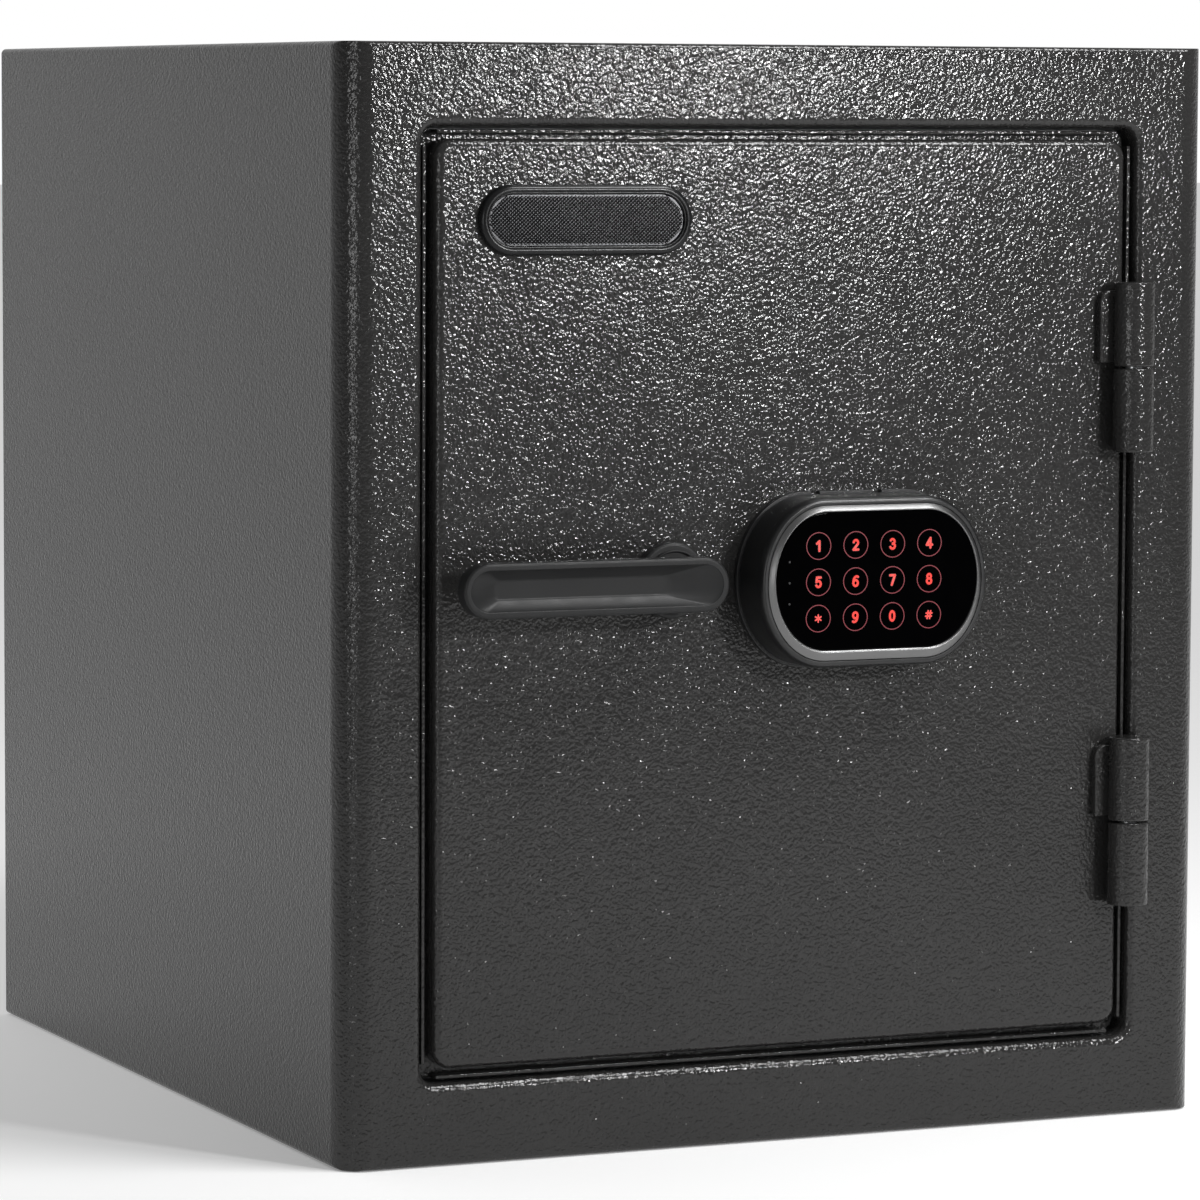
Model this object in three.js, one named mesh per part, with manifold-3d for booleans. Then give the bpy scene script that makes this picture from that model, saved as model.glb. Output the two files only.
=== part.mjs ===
// A free-standing fire-resistant safe with a touch keypad, a lever handle and external hinges.
// Millimetres, +Z up. The origin is the middle of the underside, the door faces -Y.
// Front-face coordinates: inside the `face` group y = 0 is the front face and +y runs into the safe.

import * as THREE from 'three';
import { mergeVertices } from 'three/addons/utils/BufferGeometryUtils.js';
import Module from 'manifold-3d';

const wasm = await Module();
wasm.setup();

// ---------------------------------------------------------------- driving dimensions

const BODY_W = 434;
const BODY_D = 484;
const BODY_H = 500;
const MID_Z = BODY_H / 2;
const SHEET = 2;               // outer steel sheet
const FRONT_EDGE_R = 15;       // rounded upright front edges
const BACK_EDGE_R = 4;
const FOLD_R = 2.5;            // small fold radius of the other edges
const GAP = 0.3;               // clearance between touching pieces

const OPEN_W = 358;            // door opening in the front face
const OPEN_H = 426;
const OPEN_R = 7;
const ROLL_R = 4;              // rolled edge of the opening
const JAMB_DEPTH = 16;

const THROAT_W = 334;          // narrower opening behind the ledge, and the cavity behind it
const THROAT_H = 402;
const THROAT_R = 6;
const THROAT_WALL = 3;
const THROAT_END = 64;
const CAVITY_END = 434;
const LINER = 1.5;

const DOOR_W = 346;            // front pan of the door
const DOOR_H = 414;
const DOOR_Z = 250.5;
const DOOR_R = 4;
const DOOR_SHEET = 2;
const PAN_DEPTH = 11.7;
const BACK_PAN_CLEAR = 1.4;    // between the back pan's flange and the jamb
const BACK_PAN_FRONT = 4.5;
const BACK_PAN_Y = 12;
const FLANGE = 1.8;
const PLUG_W = 317;            // the part of the door that enters the throat
const PLUG_H = 392;
const PLUG_Y = 14.3;
const PLUG_END = 58.5;
const PLUG_SHEET = 1.5;

const HINGE_X = 173;           // hinge axis, proud of the front face
const HINGE_Y = -9.5;
const HINGE_MID_Z = [352.5, 140.5];
const KNUCKLE_R = 9.6;
const KNUCKLE_L = 39;
const KNUCKLE_GAP = 0.8;
const PIN_R = 4;

const LOCK_X = -59.4;          // lever axis
const LOCK_Z = 259.6;
const SPINDLE_R = 6;
const SPINDLE_HOLE_R = 9;      // through the door's pans and fillings
const LEVER_LEFT = 112.6;      // reach of the lever to the left and to the right of its axis
const LEVER_RIGHT = 15.5;
const LEVER_H = 24.6;
const LEVER_FRONT = -32;
const LEVER_BACK = -21;
const ROSETTE_R = 17.2;
const ROSETTE_FRONT = -5.3;
const COLLAR_R = 13.9;

const PAD_X = 31.8;            // keypad
const PAD_Z = 257.9;
const PAD_W = 114.6;
const PAD_H = 77.4;
const PAD_END = 32;            // reach of each curved end of the outline
const PAD_FRONT = -28;
const BEZEL_INSET = 3.2;       // from the housing's outline to the rim's
const GLASS_W = 101.4;
const GLASS_H = 62.6;
const GLASS_END = 25.4;
const GLASS_RISE = 1;          // the glass sits this much above the middle of the housing

const BADGE_X = -101.5;
const BADGE_Z = 421.5;
const BADGE_W = 103;
const BADGE_H = 31.5;

const THROW = 17;              // travel of the bolts
const CRANK_R = 17;
const CRANK_REST = Math.PI / 6; // lean of the crank from upright, towards +X, with the bolts drawn back
const BOLT_R = 10;
const BOLT_Y = 46.5;
const BOLT_Z = [130, 250, 370];
const FIXED_BOLT_R = 8;
const FIXED_BOLT_Z = [130, 370];

// ---------------------------------------------------------------- materials

const paint = (color, roughness = 0.5, metalness = 0.2) =>
  new THREE.MeshStandardMaterial({ color, roughness, metalness });

const MAT = {
  shell: paint(0x454545, 0.45),
  interior: paint(0x8d8f90, 0.6),
  steel: paint(0xb4b6b8, 0.3, 1),
  chrome: paint(0xd0d2d4, 0.12, 1),
  plastic: paint(0x222325, 0.45, 0),
  glass: paint(0x050506, 0.08, 0),
  bezel: paint(0x5b5c5f, 0.35, 0.4),
  rubber: paint(0x111111, 0.9, 0),
  fill: paint(0xbdb8ad, 0.95, 0),
  carpet: paint(0x2a2a2c, 1, 0),
  board: paint(0x1f5a36, 0.6, 0),
  battery: paint(0x6a6258, 0.35, 0.3),
};

// ---------------------------------------------------------------- shape helpers

// A closed three.js geometry as a solid that can be joined and cut.
function solid(geometry) {
  const plain = geometry.index ? geometry.toNonIndexed() : geometry.clone();
  plain.deleteAttribute('normal');
  plain.deleteAttribute('uv');
  const merged = mergeVertices(plain, 1e-4);
  return new wasm.Manifold(new wasm.Mesh({
    numProp: 3,
    vertProperties: new Float32Array(merged.attributes.position.array),
    triVerts: new Uint32Array(merged.index.array),
  }));
}

function geometryOf(body) {
  const mesh = body.getMesh();
  const geometry = new THREE.BufferGeometry();
  geometry.setAttribute('position', new THREE.BufferAttribute(new Float32Array(mesh.vertProperties), 3));
  geometry.setIndex(new THREE.BufferAttribute(new Uint32Array(mesh.triVerts), 1));
  geometry.computeVertexNormals();
  return geometry;
}

function box(x0, x1, y0, y1, z0, z1) {
  const geometry = new THREE.BoxGeometry(x1 - x0, y1 - y0, z1 - z0);
  geometry.translate((x0 + x1) / 2, (y0 + y1) / 2, (z0 + z1) / 2);
  return solid(geometry);
}

// A box centred on x and z, given by its width, height and depth range.
const slab = (w, h, x, z, y0, y1) => box(x - w / 2, x + w / 2, y0, y1, z - h / 2, z + h / 2);

function rodY(r, x, z, y0, y1, sides = 32) {
  const geometry = new THREE.CylinderGeometry(r, r, y1 - y0, sides);
  geometry.translate(x, (y0 + y1) / 2, z);
  return solid(geometry);
}

function rodX(r, y, z, x0, x1, sides = 32) {
  const geometry = new THREE.CylinderGeometry(r, r, x1 - x0, sides);
  geometry.rotateZ(Math.PI / 2);
  geometry.translate((x0 + x1) / 2, y, z);
  return solid(geometry);
}

function rodZ(r, x, y, z0, z1, sides = 32) {
  const geometry = new THREE.CylinderGeometry(r, r, z1 - z0, sides);
  geometry.rotateX(Math.PI / 2);
  geometry.translate(x, y, (z0 + z1) / 2);
  return solid(geometry);
}

// Outline of a rectangle whose corners are quarter ellipses of reach rx and rz, counter-clockwise.
function outline(w, h, rx, rz = rx, steps = 6) {
  const points = [];
  const corners = [[1, 1], [-1, 1], [-1, -1], [1, -1]];
  corners.forEach(([sx, sz], i) => {
    for (let k = 0; k <= steps; k++) {
      const a = (i + k / steps) * Math.PI / 2;
      points.push(new THREE.Vector2(
        sx * (w / 2 - rx) + rx * Math.cos(a),
        sz * (h / 2 - rz) + rz * Math.sin(a),
      ));
    }
  });
  return points;
}

// A closed body through outlines of equal point count, each lying in an XZ plane at its own depth y.
function loft(sections, x = 0, z = 0) {
  const count = sections[0].points.length;
  const position = [];
  for (const { points, y } of sections) {
    for (const p of points) position.push(x + p.x, y, z + p.y);
  }
  const index = [];
  for (let s = 0; s + 1 < sections.length; s++) {
    for (let k = 0; k < count; k++) {
      const a = s * count + k;
      const b = s * count + (k + 1) % count;
      index.push(a, a + count, b, b, a + count, b + count);
    }
  }
  const last = (sections.length - 1) * count;
  for (let k = 1; k + 1 < count; k++) {
    index.push(0, k, k + 1);
    index.push(last, last + k + 1, last + k);
  }
  const geometry = new THREE.BufferGeometry();
  geometry.setAttribute('position', new THREE.Float32BufferAttribute(position, 3));
  geometry.setIndex(index);
  return solid(geometry);
}

// A straight prism of an outline between two depths.
const prism = (points, y0, y1, x = 0, z = 0) => loft([{ points, y: y0 }, { points, y: y1 }], x, z);

// Quarter-round steps: inset from the full outline and depth behind the front, both for radius r.
function roundSteps(r, steps) {
  return Array.from({ length: steps + 1 }, (_, k) => {
    const a = (k / steps) * Math.PI / 2;
    return { inset: r * (1 - Math.sin(a)), depth: r * (1 - Math.cos(a)) };
  });
}

// Joins and cuts: the first solid, less all the others.
const cut = (base, ...tools) => tools.reduce((body, tool) => body.subtract(tool), base);
const join = (...parts) => parts.reduce((body, part) => body.add(part));

function piece(name, body, material) {
  const mesh = new THREE.Mesh(geometryOf(body), material);
  mesh.name = name;
  return mesh;
}

// ---------------------------------------------------------------- cabinet

// The cabinet's outer or inner volume: `inset` shrinks it on all sides, `back` is where it ends.
function cabinetVolume(inset, back) {
  const w = BODY_W - 2 * inset;
  const h = BODY_H - 2 * inset;
  const edge = FRONT_EDGE_R - inset;
  const backEdge = Math.max(BACK_EDGE_R - inset, 0.5);
  const fold = Math.max(FOLD_R - inset, 0.3);
  const plan = new THREE.Shape();
  plan.moveTo(-w / 2, inset + edge);
  plan.absarc(-w / 2 + edge, inset + edge, edge, Math.PI, Math.PI * 1.5, false);
  plan.absarc(w / 2 - edge, inset + edge, edge, Math.PI * 1.5, Math.PI * 2, false);
  plan.absarc(w / 2 - backEdge, back - backEdge, backEdge, 0, Math.PI / 2, false);
  plan.absarc(-w / 2 + backEdge, back - backEdge, backEdge, Math.PI / 2, Math.PI, false);
  const upright = new THREE.ExtrudeGeometry(plan, { depth: h, bevelEnabled: false, curveSegments: 8 });
  upright.translate(0, 0, inset);
  const acrossFront = prism(outline(w, h, fold, fold, 3), inset, back, 0, MID_Z);
  const sideOutline = prism(outline(back - inset, h, fold, fold, 3), -w / 2, w / 2)
    .transform([0, 1, 0, 0, -1, 0, 0, 0, 0, 0, 1, 0, 0, (back + inset) / 2, MID_Z, 1]);
  return solid(upright).intersect(acrossFront).intersect(sideOutline);
}

// The hole of the door opening, widening forwards through the rolled edge.
function openingCut() {
  const ring = (inset) => outline(OPEN_W + 2 * inset, OPEN_H + 2 * inset, OPEN_R + inset);
  const steps = roundSteps(ROLL_R, 5).map(({ inset, depth }) => ({ points: ring(inset), y: depth }));
  return loft([
    { points: ring(ROLL_R), y: -1 },
    ...steps,
    { points: ring(0), y: JAMB_DEPTH + 1 },
  ], 0, MID_Z);
}

const ANCHOR_X = [-110, 110];
const ANCHOR_Y = BODY_D / 2;
const ANCHOR_R = 6;

const anchorHoles = (clearance, z0, z1) =>
  join(...ANCHOR_X.map((x) => rodZ(ANCHOR_R + clearance, x, ANCHOR_Y, z0, z1, 20)));

function cabinetShell() {
  const skin = cabinetVolume(0, BODY_D).subtract(cabinetVolume(SHEET, BODY_D + 20));
  const jamb = prism(outline(OPEN_W + 2 * SHEET, OPEN_H + 2 * SHEET, OPEN_R + SHEET), 1, JAMB_DEPTH, 0, MID_Z);
  const rollBacking = prism(
    outline(OPEN_W + 2 * ROLL_R + 2, OPEN_H + 2 * ROLL_R + 2, OPEN_R + ROLL_R + 1), 1, ROLL_R, 0, MID_Z);
  return cut(join(skin, jamb, rollBacking), openingCut(), anchorHoles(GAP, -1, SHEET + 1));
}

function backPanel() {
  const w = BODY_W - 2 * SHEET - 2 * GAP;
  const h = BODY_H - 2 * SHEET - 2 * GAP;
  return prism(outline(w, h, 2, 2, 2), BODY_D - 3, BODY_D - 1, 0, MID_Z);
}

// Clearance bodies behind the front face, shared by the filling and the pieces next to it.
function throatAndCavity(extra) {
  const wall = THROAT_WALL + extra;
  const side = LINER + extra;
  return join(
    prism(outline(OPEN_W + 2 * ROLL_R + 2 + 2 * extra, OPEN_H + 2 * ROLL_R + 2 + 2 * extra, 12),
      0, ROLL_R + extra, 0, MID_Z),
    prism(outline(OPEN_W + 2 * SHEET + 2 * extra, OPEN_H + 2 * SHEET + 2 * extra, 9),
      0, JAMB_DEPTH + SHEET + 2 * extra, 0, MID_Z),
    prism(outline(THROAT_W + 2 * wall, THROAT_H + 2 * wall, THROAT_R + wall), 0, THROAT_END + extra, 0, MID_Z),
    prism(outline(THROAT_W + 2 * side, THROAT_H + 2 * side, THROAT_R + side), 0, CAVITY_END + side, 0, MID_Z),
  );
}

// Room in the wall for the tips of the bolts, on both sides of the throat.
function boltPockets() {
  const half = THROAT_W / 2 + THROAT_WALL - 1;
  const live = BOLT_Z.map((z) => box(-half - 20, -half, BOLT_Y - 13, BOLT_Y + 13, z - 13, z + 13));
  const fixed = FIXED_BOLT_Z.map((z) => box(half, half + 12, BOLT_Y - 10, BOLT_Y + 10, z - 10, z + 10));
  return join(...live, ...fixed);
}

function insulationFill() {
  const block = cabinetVolume(SHEET + GAP, BODY_D - 3 - GAP);
  return cut(block, throatAndCavity(GAP), boltPockets(), anchorHoles(0.8, 0, 60));
}

function doorFrame() {
  const ledgeY = JAMB_DEPTH + GAP;
  const ledge = prism(outline(OPEN_W + 2 * SHEET, OPEN_H + 2 * SHEET, 9), ledgeY, ledgeY + SHEET, 0, MID_Z);
  const wall = prism(
    outline(THROAT_W + 2 * THROAT_WALL, THROAT_H + 2 * THROAT_WALL, THROAT_R + THROAT_WALL),
    ledgeY, THROAT_END, 0, MID_Z);
  const way = prism(outline(THROAT_W, THROAT_H, THROAT_R), ledgeY - 1, THROAT_END + 1, 0, MID_Z);
  const left = -THROAT_W / 2;
  const liveHoles = BOLT_Z.map((z) => rodX(BOLT_R + 1, BOLT_Y, z, left - 8, left + 2, 24));
  const fixedHoles = FIXED_BOLT_Z.map((z) => rodX(FIXED_BOLT_R + 1.4, BOLT_Y, z, -left - 2, -left + 8, 24));
  return cut(join(ledge, wall), way, ...liveHoles, ...fixedHoles);
}

function doorSeal() {
  const y0 = JAMB_DEPTH - 1.2;
  const outer = prism(outline(DOOR_W, DOOR_H + 2, 8), y0, JAMB_DEPTH, 0, MID_Z);
  return cut(outer, prism(outline(DOOR_W - 8, DOOR_H - 6, 6), y0 - 1, JAMB_DEPTH + 1, 0, MID_Z));
}

function innerLiner() {
  const start = THROAT_END + GAP;
  const outer = prism(
    outline(THROAT_W + 2 * LINER, THROAT_H + 2 * LINER, THROAT_R + LINER), start, CAVITY_END + LINER, 0, MID_Z);
  const inside = prism(outline(THROAT_W, THROAT_H, THROAT_R), start - 1, CAVITY_END, 0, MID_Z);
  return cut(outer, inside, anchorHoles(GAP, 40, 55));
}

const FLOOR_Z = MID_Z - THROAT_H / 2;
const PLUG_HEAD_R = 11;

function anchorPlug(x) {
  return join(
    rodZ(ANCHOR_R, x, ANCHOR_Y, 1, FLOOR_Z + 1, 20),
    rodZ(PLUG_HEAD_R, x, ANCHOR_Y, FLOOR_Z + GAP, FLOOR_Z + 2, 20),
  );
}

function floorMat() {
  const y = (THROAT_END + CAVITY_END) / 2;
  const depth = CAVITY_END - THROAT_END - 8;
  const halfWidth = THROAT_W / 2 - THROAT_R;
  const mat = box(-halfWidth, halfWidth, y - depth / 2, y + depth / 2, FLOOR_Z + GAP, FLOOR_Z + 3);
  const holes = ANCHOR_X.map((x) => rodZ(PLUG_HEAD_R + 2, x, ANCHOR_Y, FLOOR_Z - 1, FLOOR_Z + 5, 20));
  return cut(mat, ...holes);
}

const SHELF_Z = 256;           // top of the shelf
const SHELF_W = THROAT_W - 3;
const SHELF_Y = [90, 430];
const SHELF_LIP = 13;

function shelf() {
  const t = 1.5;
  const [y0, y1] = SHELF_Y;
  const outer = box(-SHELF_W / 2, SHELF_W / 2, y0, y1, SHELF_Z - SHELF_LIP, SHELF_Z);
  const hollow = box(-SHELF_W / 2 + t, SHELF_W / 2 - t, y0 + t, y1 - t, SHELF_Z - SHELF_LIP - 1, SHELF_Z - t);
  return cut(outer, hollow);
}

// A small angle riveted to the side wall, carrying the shelf's folded edge.
function shelfClip(side, y) {
  const wall = side * (THROAT_W / 2 - GAP);
  const x = (d) => wall - side * d;
  const top = SHELF_Z - SHELF_LIP - GAP;
  const range = (a, b) => [Math.min(a, b), Math.max(a, b)];
  return join(
    box(...range(x(0), x(14)), y - 11, y + 11, top - 2, top),
    box(...range(x(0), x(2)), y - 11, y + 11, top - 16, top),
  );
}

// ---------------------------------------------------------------- hinges

const knuckleZ = (mid, upper) => (upper
  ? [mid + KNUCKLE_GAP / 2, mid + KNUCKLE_GAP / 2 + KNUCKLE_L]
  : [mid - KNUCKLE_GAP / 2 - KNUCKLE_L, mid - KNUCKLE_GAP / 2]);

function knuckleBarrel([z0, z1]) {
  const chamfer = 0.8;
  const r = KNUCKLE_R;
  const profile = [[0, z0], [r - chamfer, z0], [r, z0 + chamfer], [r, z1 - chamfer], [r - chamfer, z1], [0, z1]];
  const geometry = new THREE.LatheGeometry(profile.map(([x, y]) => new THREE.Vector2(x, y)), 36);
  geometry.rotateX(Math.PI / 2);
  geometry.translate(HINGE_X, HINGE_Y, 0);
  const body = solid(geometry);
  return body;
}

const PIN_HALF = 30;
const pinBore = (mid) => rodZ(PIN_R + GAP, HINGE_X, HINGE_Y, mid - PIN_HALF - GAP, mid + PIN_HALF + GAP, 20);
const LEAF_FRONT = -4.8;

// Door side: the barrel and its leaf on the door's front.
function doorKnuckle(mid) {
  const [z0, z1] = knuckleZ(mid, true);
  const leaf = box(HINGE_X - 15, HINGE_X - 2, LEAF_FRONT, -GAP, z0 + 1.4, z1 - 4);
  return cut(join(knuckleBarrel([z0, z1]), leaf), pinBore(mid));
}

// Cabinet side: the barrel and a leaf that reaches the front face beyond the opening's rolled edge.
function cabinetKnuckle(mid) {
  const [z0, z1] = knuckleZ(mid, false);
  const leaf = box(HINGE_X + 2, HINGE_X + 14, LEAF_FRONT, -GAP, z0 + 2, z1 - 2);
  return cut(join(knuckleBarrel([z0, z1]), leaf), pinBore(mid));
}

const hingePin = (mid) => rodZ(PIN_R, HINGE_X, HINGE_Y, mid - PIN_HALF, mid + PIN_HALF, 20);

// ---------------------------------------------------------------- door

const CABLE_HOLE_R = 7;
const spindleHole = () => rodY(SPINDLE_HOLE_R, LOCK_X, LOCK_Z, -5, PLUG_END + 10, 24);
const cableHole = () => rodY(CABLE_HOLE_R, PAD_X, PAD_Z, -5, 40, 24);

function doorFrontPan() {
  const ring = (inset) => outline(DOOR_W - 2 * inset, DOOR_H - 2 * inset, Math.max(DOOR_R + ROLL_R - inset, 1));
  const rounded = roundSteps(ROLL_R, 4).map(({ inset, depth }) => ({ points: ring(inset), y: depth }));
  const outer = loft([...rounded, { points: ring(0), y: PAN_DEPTH }], 0, DOOR_Z);
  const inside = roundSteps(ROLL_R - DOOR_SHEET, 2).map(({ inset, depth }) => (
    { points: ring(DOOR_SHEET + inset), y: DOOR_SHEET + depth }));
  const hollow = loft([...inside, { points: ring(DOOR_SHEET), y: PAN_DEPTH + 1 }], 0, DOOR_Z);
  return cut(outer, hollow, spindleHole(), cableHole());
}

function doorFireBoard() {
  const board = slab(DOOR_W - 12, DOOR_H - 12, 0, DOOR_Z, DOOR_SHEET + GAP, PAN_DEPTH - GAP);
  return cut(board, spindleHole(), cableHole());
}

function doorBackPan() {
  const w = OPEN_W - 2 * BACK_PAN_CLEAR;
  const h = OPEN_H - 2 * BACK_PAN_CLEAR;
  const r = 6;
  const outer = prism(outline(w, h, r, r, 3), BACK_PAN_FRONT, BACK_PAN_Y + SHEET, 0, MID_Z);
  const hollow = prism(outline(w - 2 * FLANGE, h - 2 * FLANGE, r - FLANGE, r - FLANGE, 3),
    BACK_PAN_FRONT - 1, BACK_PAN_Y, 0, MID_Z);
  const notch = 7;
  const notches = [-1, 1].flatMap((sx) => [-1, 1].map((sz) => slab(
    2 * notch, 2 * notch, sx * w / 2, MID_Z + sz * h / 2, BACK_PAN_FRONT - 1, BACK_PAN_Y)));
  return cut(outer, hollow, ...notches, spindleHole(), cableHole());
}

// The steel tub that carries the lock work and enters the throat.
function plugCasing() {
  const outer = prism(outline(PLUG_W, PLUG_H, 5, 5, 3), PLUG_Y, PLUG_END, 0, MID_Z);
  const inside = prism(
    outline(PLUG_W - 2 * PLUG_SHEET, PLUG_H - 2 * PLUG_SHEET, 3.5, 3.5, 3), PLUG_Y + PLUG_SHEET, PLUG_END + 1, 0, MID_Z);
  const left = -PLUG_W / 2;
  const live = BOLT_Z.map((z) => rodX(BOLT_R + 0.4, BOLT_Y, z, left - 2, left + 4, 24));
  const fixed = FIXED_BOLT_Z.map((z) => rodX(FIXED_BOLT_R + GAP, BOLT_Y, z, -left - 4, -left + 2, 24));
  return cut(outer, inside, ...live, ...fixed, spindleHole(), cableHole());
}

const SLAB_END = 34;

function plugInsulation() {
  const y0 = PLUG_Y + PLUG_SHEET + GAP;
  const body = slab(PLUG_W - 2 * PLUG_SHEET - 3, PLUG_H - 2 * PLUG_SHEET - 3, 0, MID_Z, y0, SLAB_END);
  return cut(body, spindleHole(), cableHole());
}

const BATTERY_X = 70;
const BATTERY_Z = 160;
const BATTERY_W = 84;
const BATTERY_H = 62;
const COVER_Y = PLUG_END + GAP;
const COVER_T = 2;

function innerCover() {
  const plate = prism(outline(PLUG_W, PLUG_H, 5, 5, 3), COVER_Y, COVER_Y + COVER_T, 0, MID_Z);
  return cut(plate, slab(BATTERY_W, BATTERY_H, BATTERY_X, BATTERY_Z, COVER_Y - 1, COVER_Y + COVER_T + 1));
}

const batteryLid = () => slab(
  BATTERY_W - 1, BATTERY_H - 1, BATTERY_X, BATTERY_Z, COVER_Y + GAP, COVER_Y + COVER_T);

function batteryBox() {
  const outer = slab(BATTERY_W + 6, BATTERY_H + 6, BATTERY_X, BATTERY_Z, SLAB_END + GAP, PLUG_END - GAP);
  return cut(outer, slab(BATTERY_W, BATTERY_H, BATTERY_X, BATTERY_Z, SLAB_END + 2.5, PLUG_END + 1));
}

const CELL_R = 7;
const CELL_L = 50;
const batteryCell = (i) => rodX(
  CELL_R, SLAB_END + 3 + CELL_R, BATTERY_Z + (i - 1.5) * 15, BATTERY_X - CELL_L / 2, BATTERY_X + CELL_L / 2, 16);

const lockController = () => slab(60, 54, PAD_X, PAD_Z, SLAB_END + 3, SLAB_END + 15);

// ---------------------------------------------------------------- bolt work

const boltTip = -PLUG_W / 2 + 0.4;
const CARRIAGE_X = -104;
const CARRIAGE_Y = [37, 40];

const liveBolt = (z) => {
  const body = new THREE.LatheGeometry([
    new THREE.Vector2(0, 0),
    new THREE.Vector2(BOLT_R - 1.5, 0),
    new THREE.Vector2(BOLT_R, 1.5),
    new THREE.Vector2(BOLT_R, CARRIAGE_X - GAP - boltTip),
    new THREE.Vector2(0, CARRIAGE_X - GAP - boltTip),
  ], 28);
  body.rotateZ(-Math.PI / 2);
  body.translate(boltTip, BOLT_Y, z);
  return solid(body);
};

function boltGuide(z) {
  const x0 = -PLUG_W / 2 + PLUG_SHEET + GAP;
  const block = box(x0, x0 + 10, SLAB_END + GAP, PLUG_END - GAP, z - 15, z + 15);
  return cut(block, rodX(BOLT_R + GAP, BOLT_Y, z, x0 - 1, x0 + 11, 28));
}

const fixedBolt = (z) => join(
  rodX(FIXED_BOLT_R, BOLT_Y, z, PLUG_W / 2 - 16, THROAT_W / 2 + THROAT_WALL + 5, 24),
  slab(3, 20, PLUG_W / 2 - PLUG_SHEET - GAP - 1.5, z, BOLT_Y - 9.5, BOLT_Y + 9.5),
);

const CRANK_PIN_R = 3;
const crankPin = (lean) => [LOCK_X + CRANK_R * Math.sin(lean), LOCK_Z + CRANK_R * Math.cos(lean)];
const TONGUE_Z = [LOCK_Z + SPINDLE_R + 0.9, LOCK_Z + 31];
const PLUNGER_X = -58.5;
const PLUNGER_R = 3;
const TAB_X = PLUNGER_X + THROW / 2;

// The plate that carries the bolts: an upright angle, a tongue slotted for the crank pin, and the stop
// tab that the solenoid's plunger blocks once the bolts are out.
function boltCarriage() {
  const [y0, y1] = CARRIAGE_Y;
  const [z0, z1] = [BOLT_Z[0] - 16, BOLT_Z[2] + 16];
  const upright = box(CARRIAGE_X, CARRIAGE_X + 26, y0, y1, z0, z1);
  const flange = box(CARRIAGE_X, CARRIAGE_X + 3, y0, BOLT_Y + 9, z0, z1);
  const tongue = box(CARRIAGE_X + 20, LOCK_X + 20, y0, y1, TONGUE_Z[0], TONGUE_Z[1]);
  const tab = box(TAB_X - 4.5, TAB_X + 4.5, y0, BOLT_Y + 3.5, TONGUE_Z[1] - 4, TONGUE_Z[1] + 6);
  const [pinX, pinZ] = crankPin(CRANK_REST);
  const slotHalf = CRANK_PIN_R + 0.5;
  const slot = join(
    box(pinX - slotHalf, pinX + slotHalf, y0 - 1, y1 + 1, pinZ - 1, LOCK_Z + CRANK_R + 1),
    rodY(slotHalf, pinX, pinZ - 1, y0 - 1, y1 + 1, 20),
    rodY(slotHalf, pinX, LOCK_Z + CRANK_R + 1, y0 - 1, y1 + 1, 20),
  );
  return cut(join(upright, flange, tongue, tab), slot);
}

// ---------------------------------------------------------------- lever and its drive

const CRANK_Y = [41, 45];

function driveCrank() {
  const [y0, y1] = CRANK_Y;
  const [pinX, pinZ] = crankPin(CRANK_REST);
  const arm = new THREE.BoxGeometry(10, y1 - y0, CRANK_R);
  arm.translate(0, (y0 + y1) / 2, CRANK_R / 2);
  arm.rotateY(CRANK_REST);
  arm.translate(LOCK_X, 0, LOCK_Z);
  return cut(
    join(
      rodY(11, LOCK_X, LOCK_Z, y0, y1, 28),
      solid(arm),
      rodY(5, pinX, pinZ, y0, y1, 20),
      rodY(CRANK_PIN_R, pinX, pinZ, CARRIAGE_Y[0] - 1, y0 + 1, 20),
    ),
    rodY(SPINDLE_R + GAP, LOCK_X, LOCK_Z, y0 - 1, y1 + 1, 24),
  );
}

const spindle = () => rodY(SPINDLE_R, LOCK_X, LOCK_Z, LEVER_BACK + 8, 48, 24);
const spindleNut = () => cut(
  rodY(10, LOCK_X, LOCK_Z, CRANK_Y[1] + GAP, CRANK_Y[1] + 4, 6),
  rodY(SPINDLE_R + GAP, LOCK_X, LOCK_Z, CRANK_Y[1] - 1, CRANK_Y[1] + 5, 24),
);

// The fixed ring on the door round the lever's neck, with a chamfered front edge.
function handleRosette() {
  const chamfer = 1.5;
  const round = (r) => outline(2 * r, 2 * r, r, r, 8);
  const body = loft([
    { points: round(ROSETTE_R - chamfer), y: ROSETTE_FRONT },
    { points: round(ROSETTE_R), y: ROSETTE_FRONT + chamfer },
    { points: round(ROSETTE_R), y: -GAP },
  ], LOCK_X, LOCK_Z);
  return cut(body, rodY(SPINDLE_R + 1, LOCK_X, LOCK_Z, ROSETTE_FRONT - 1, 1, 24));
}

// The neck between the rosette and the lever, turning with the lever.
const handleCollar = () => cut(
  rodY(COLLAR_R, LOCK_X, LOCK_Z, LEVER_BACK + GAP, ROSETTE_FRONT - GAP, 32),
  rodY(SPINDLE_R + GAP, LOCK_X, LOCK_Z, LEVER_BACK - 1, ROSETTE_FRONT + 1, 24),
);

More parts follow.
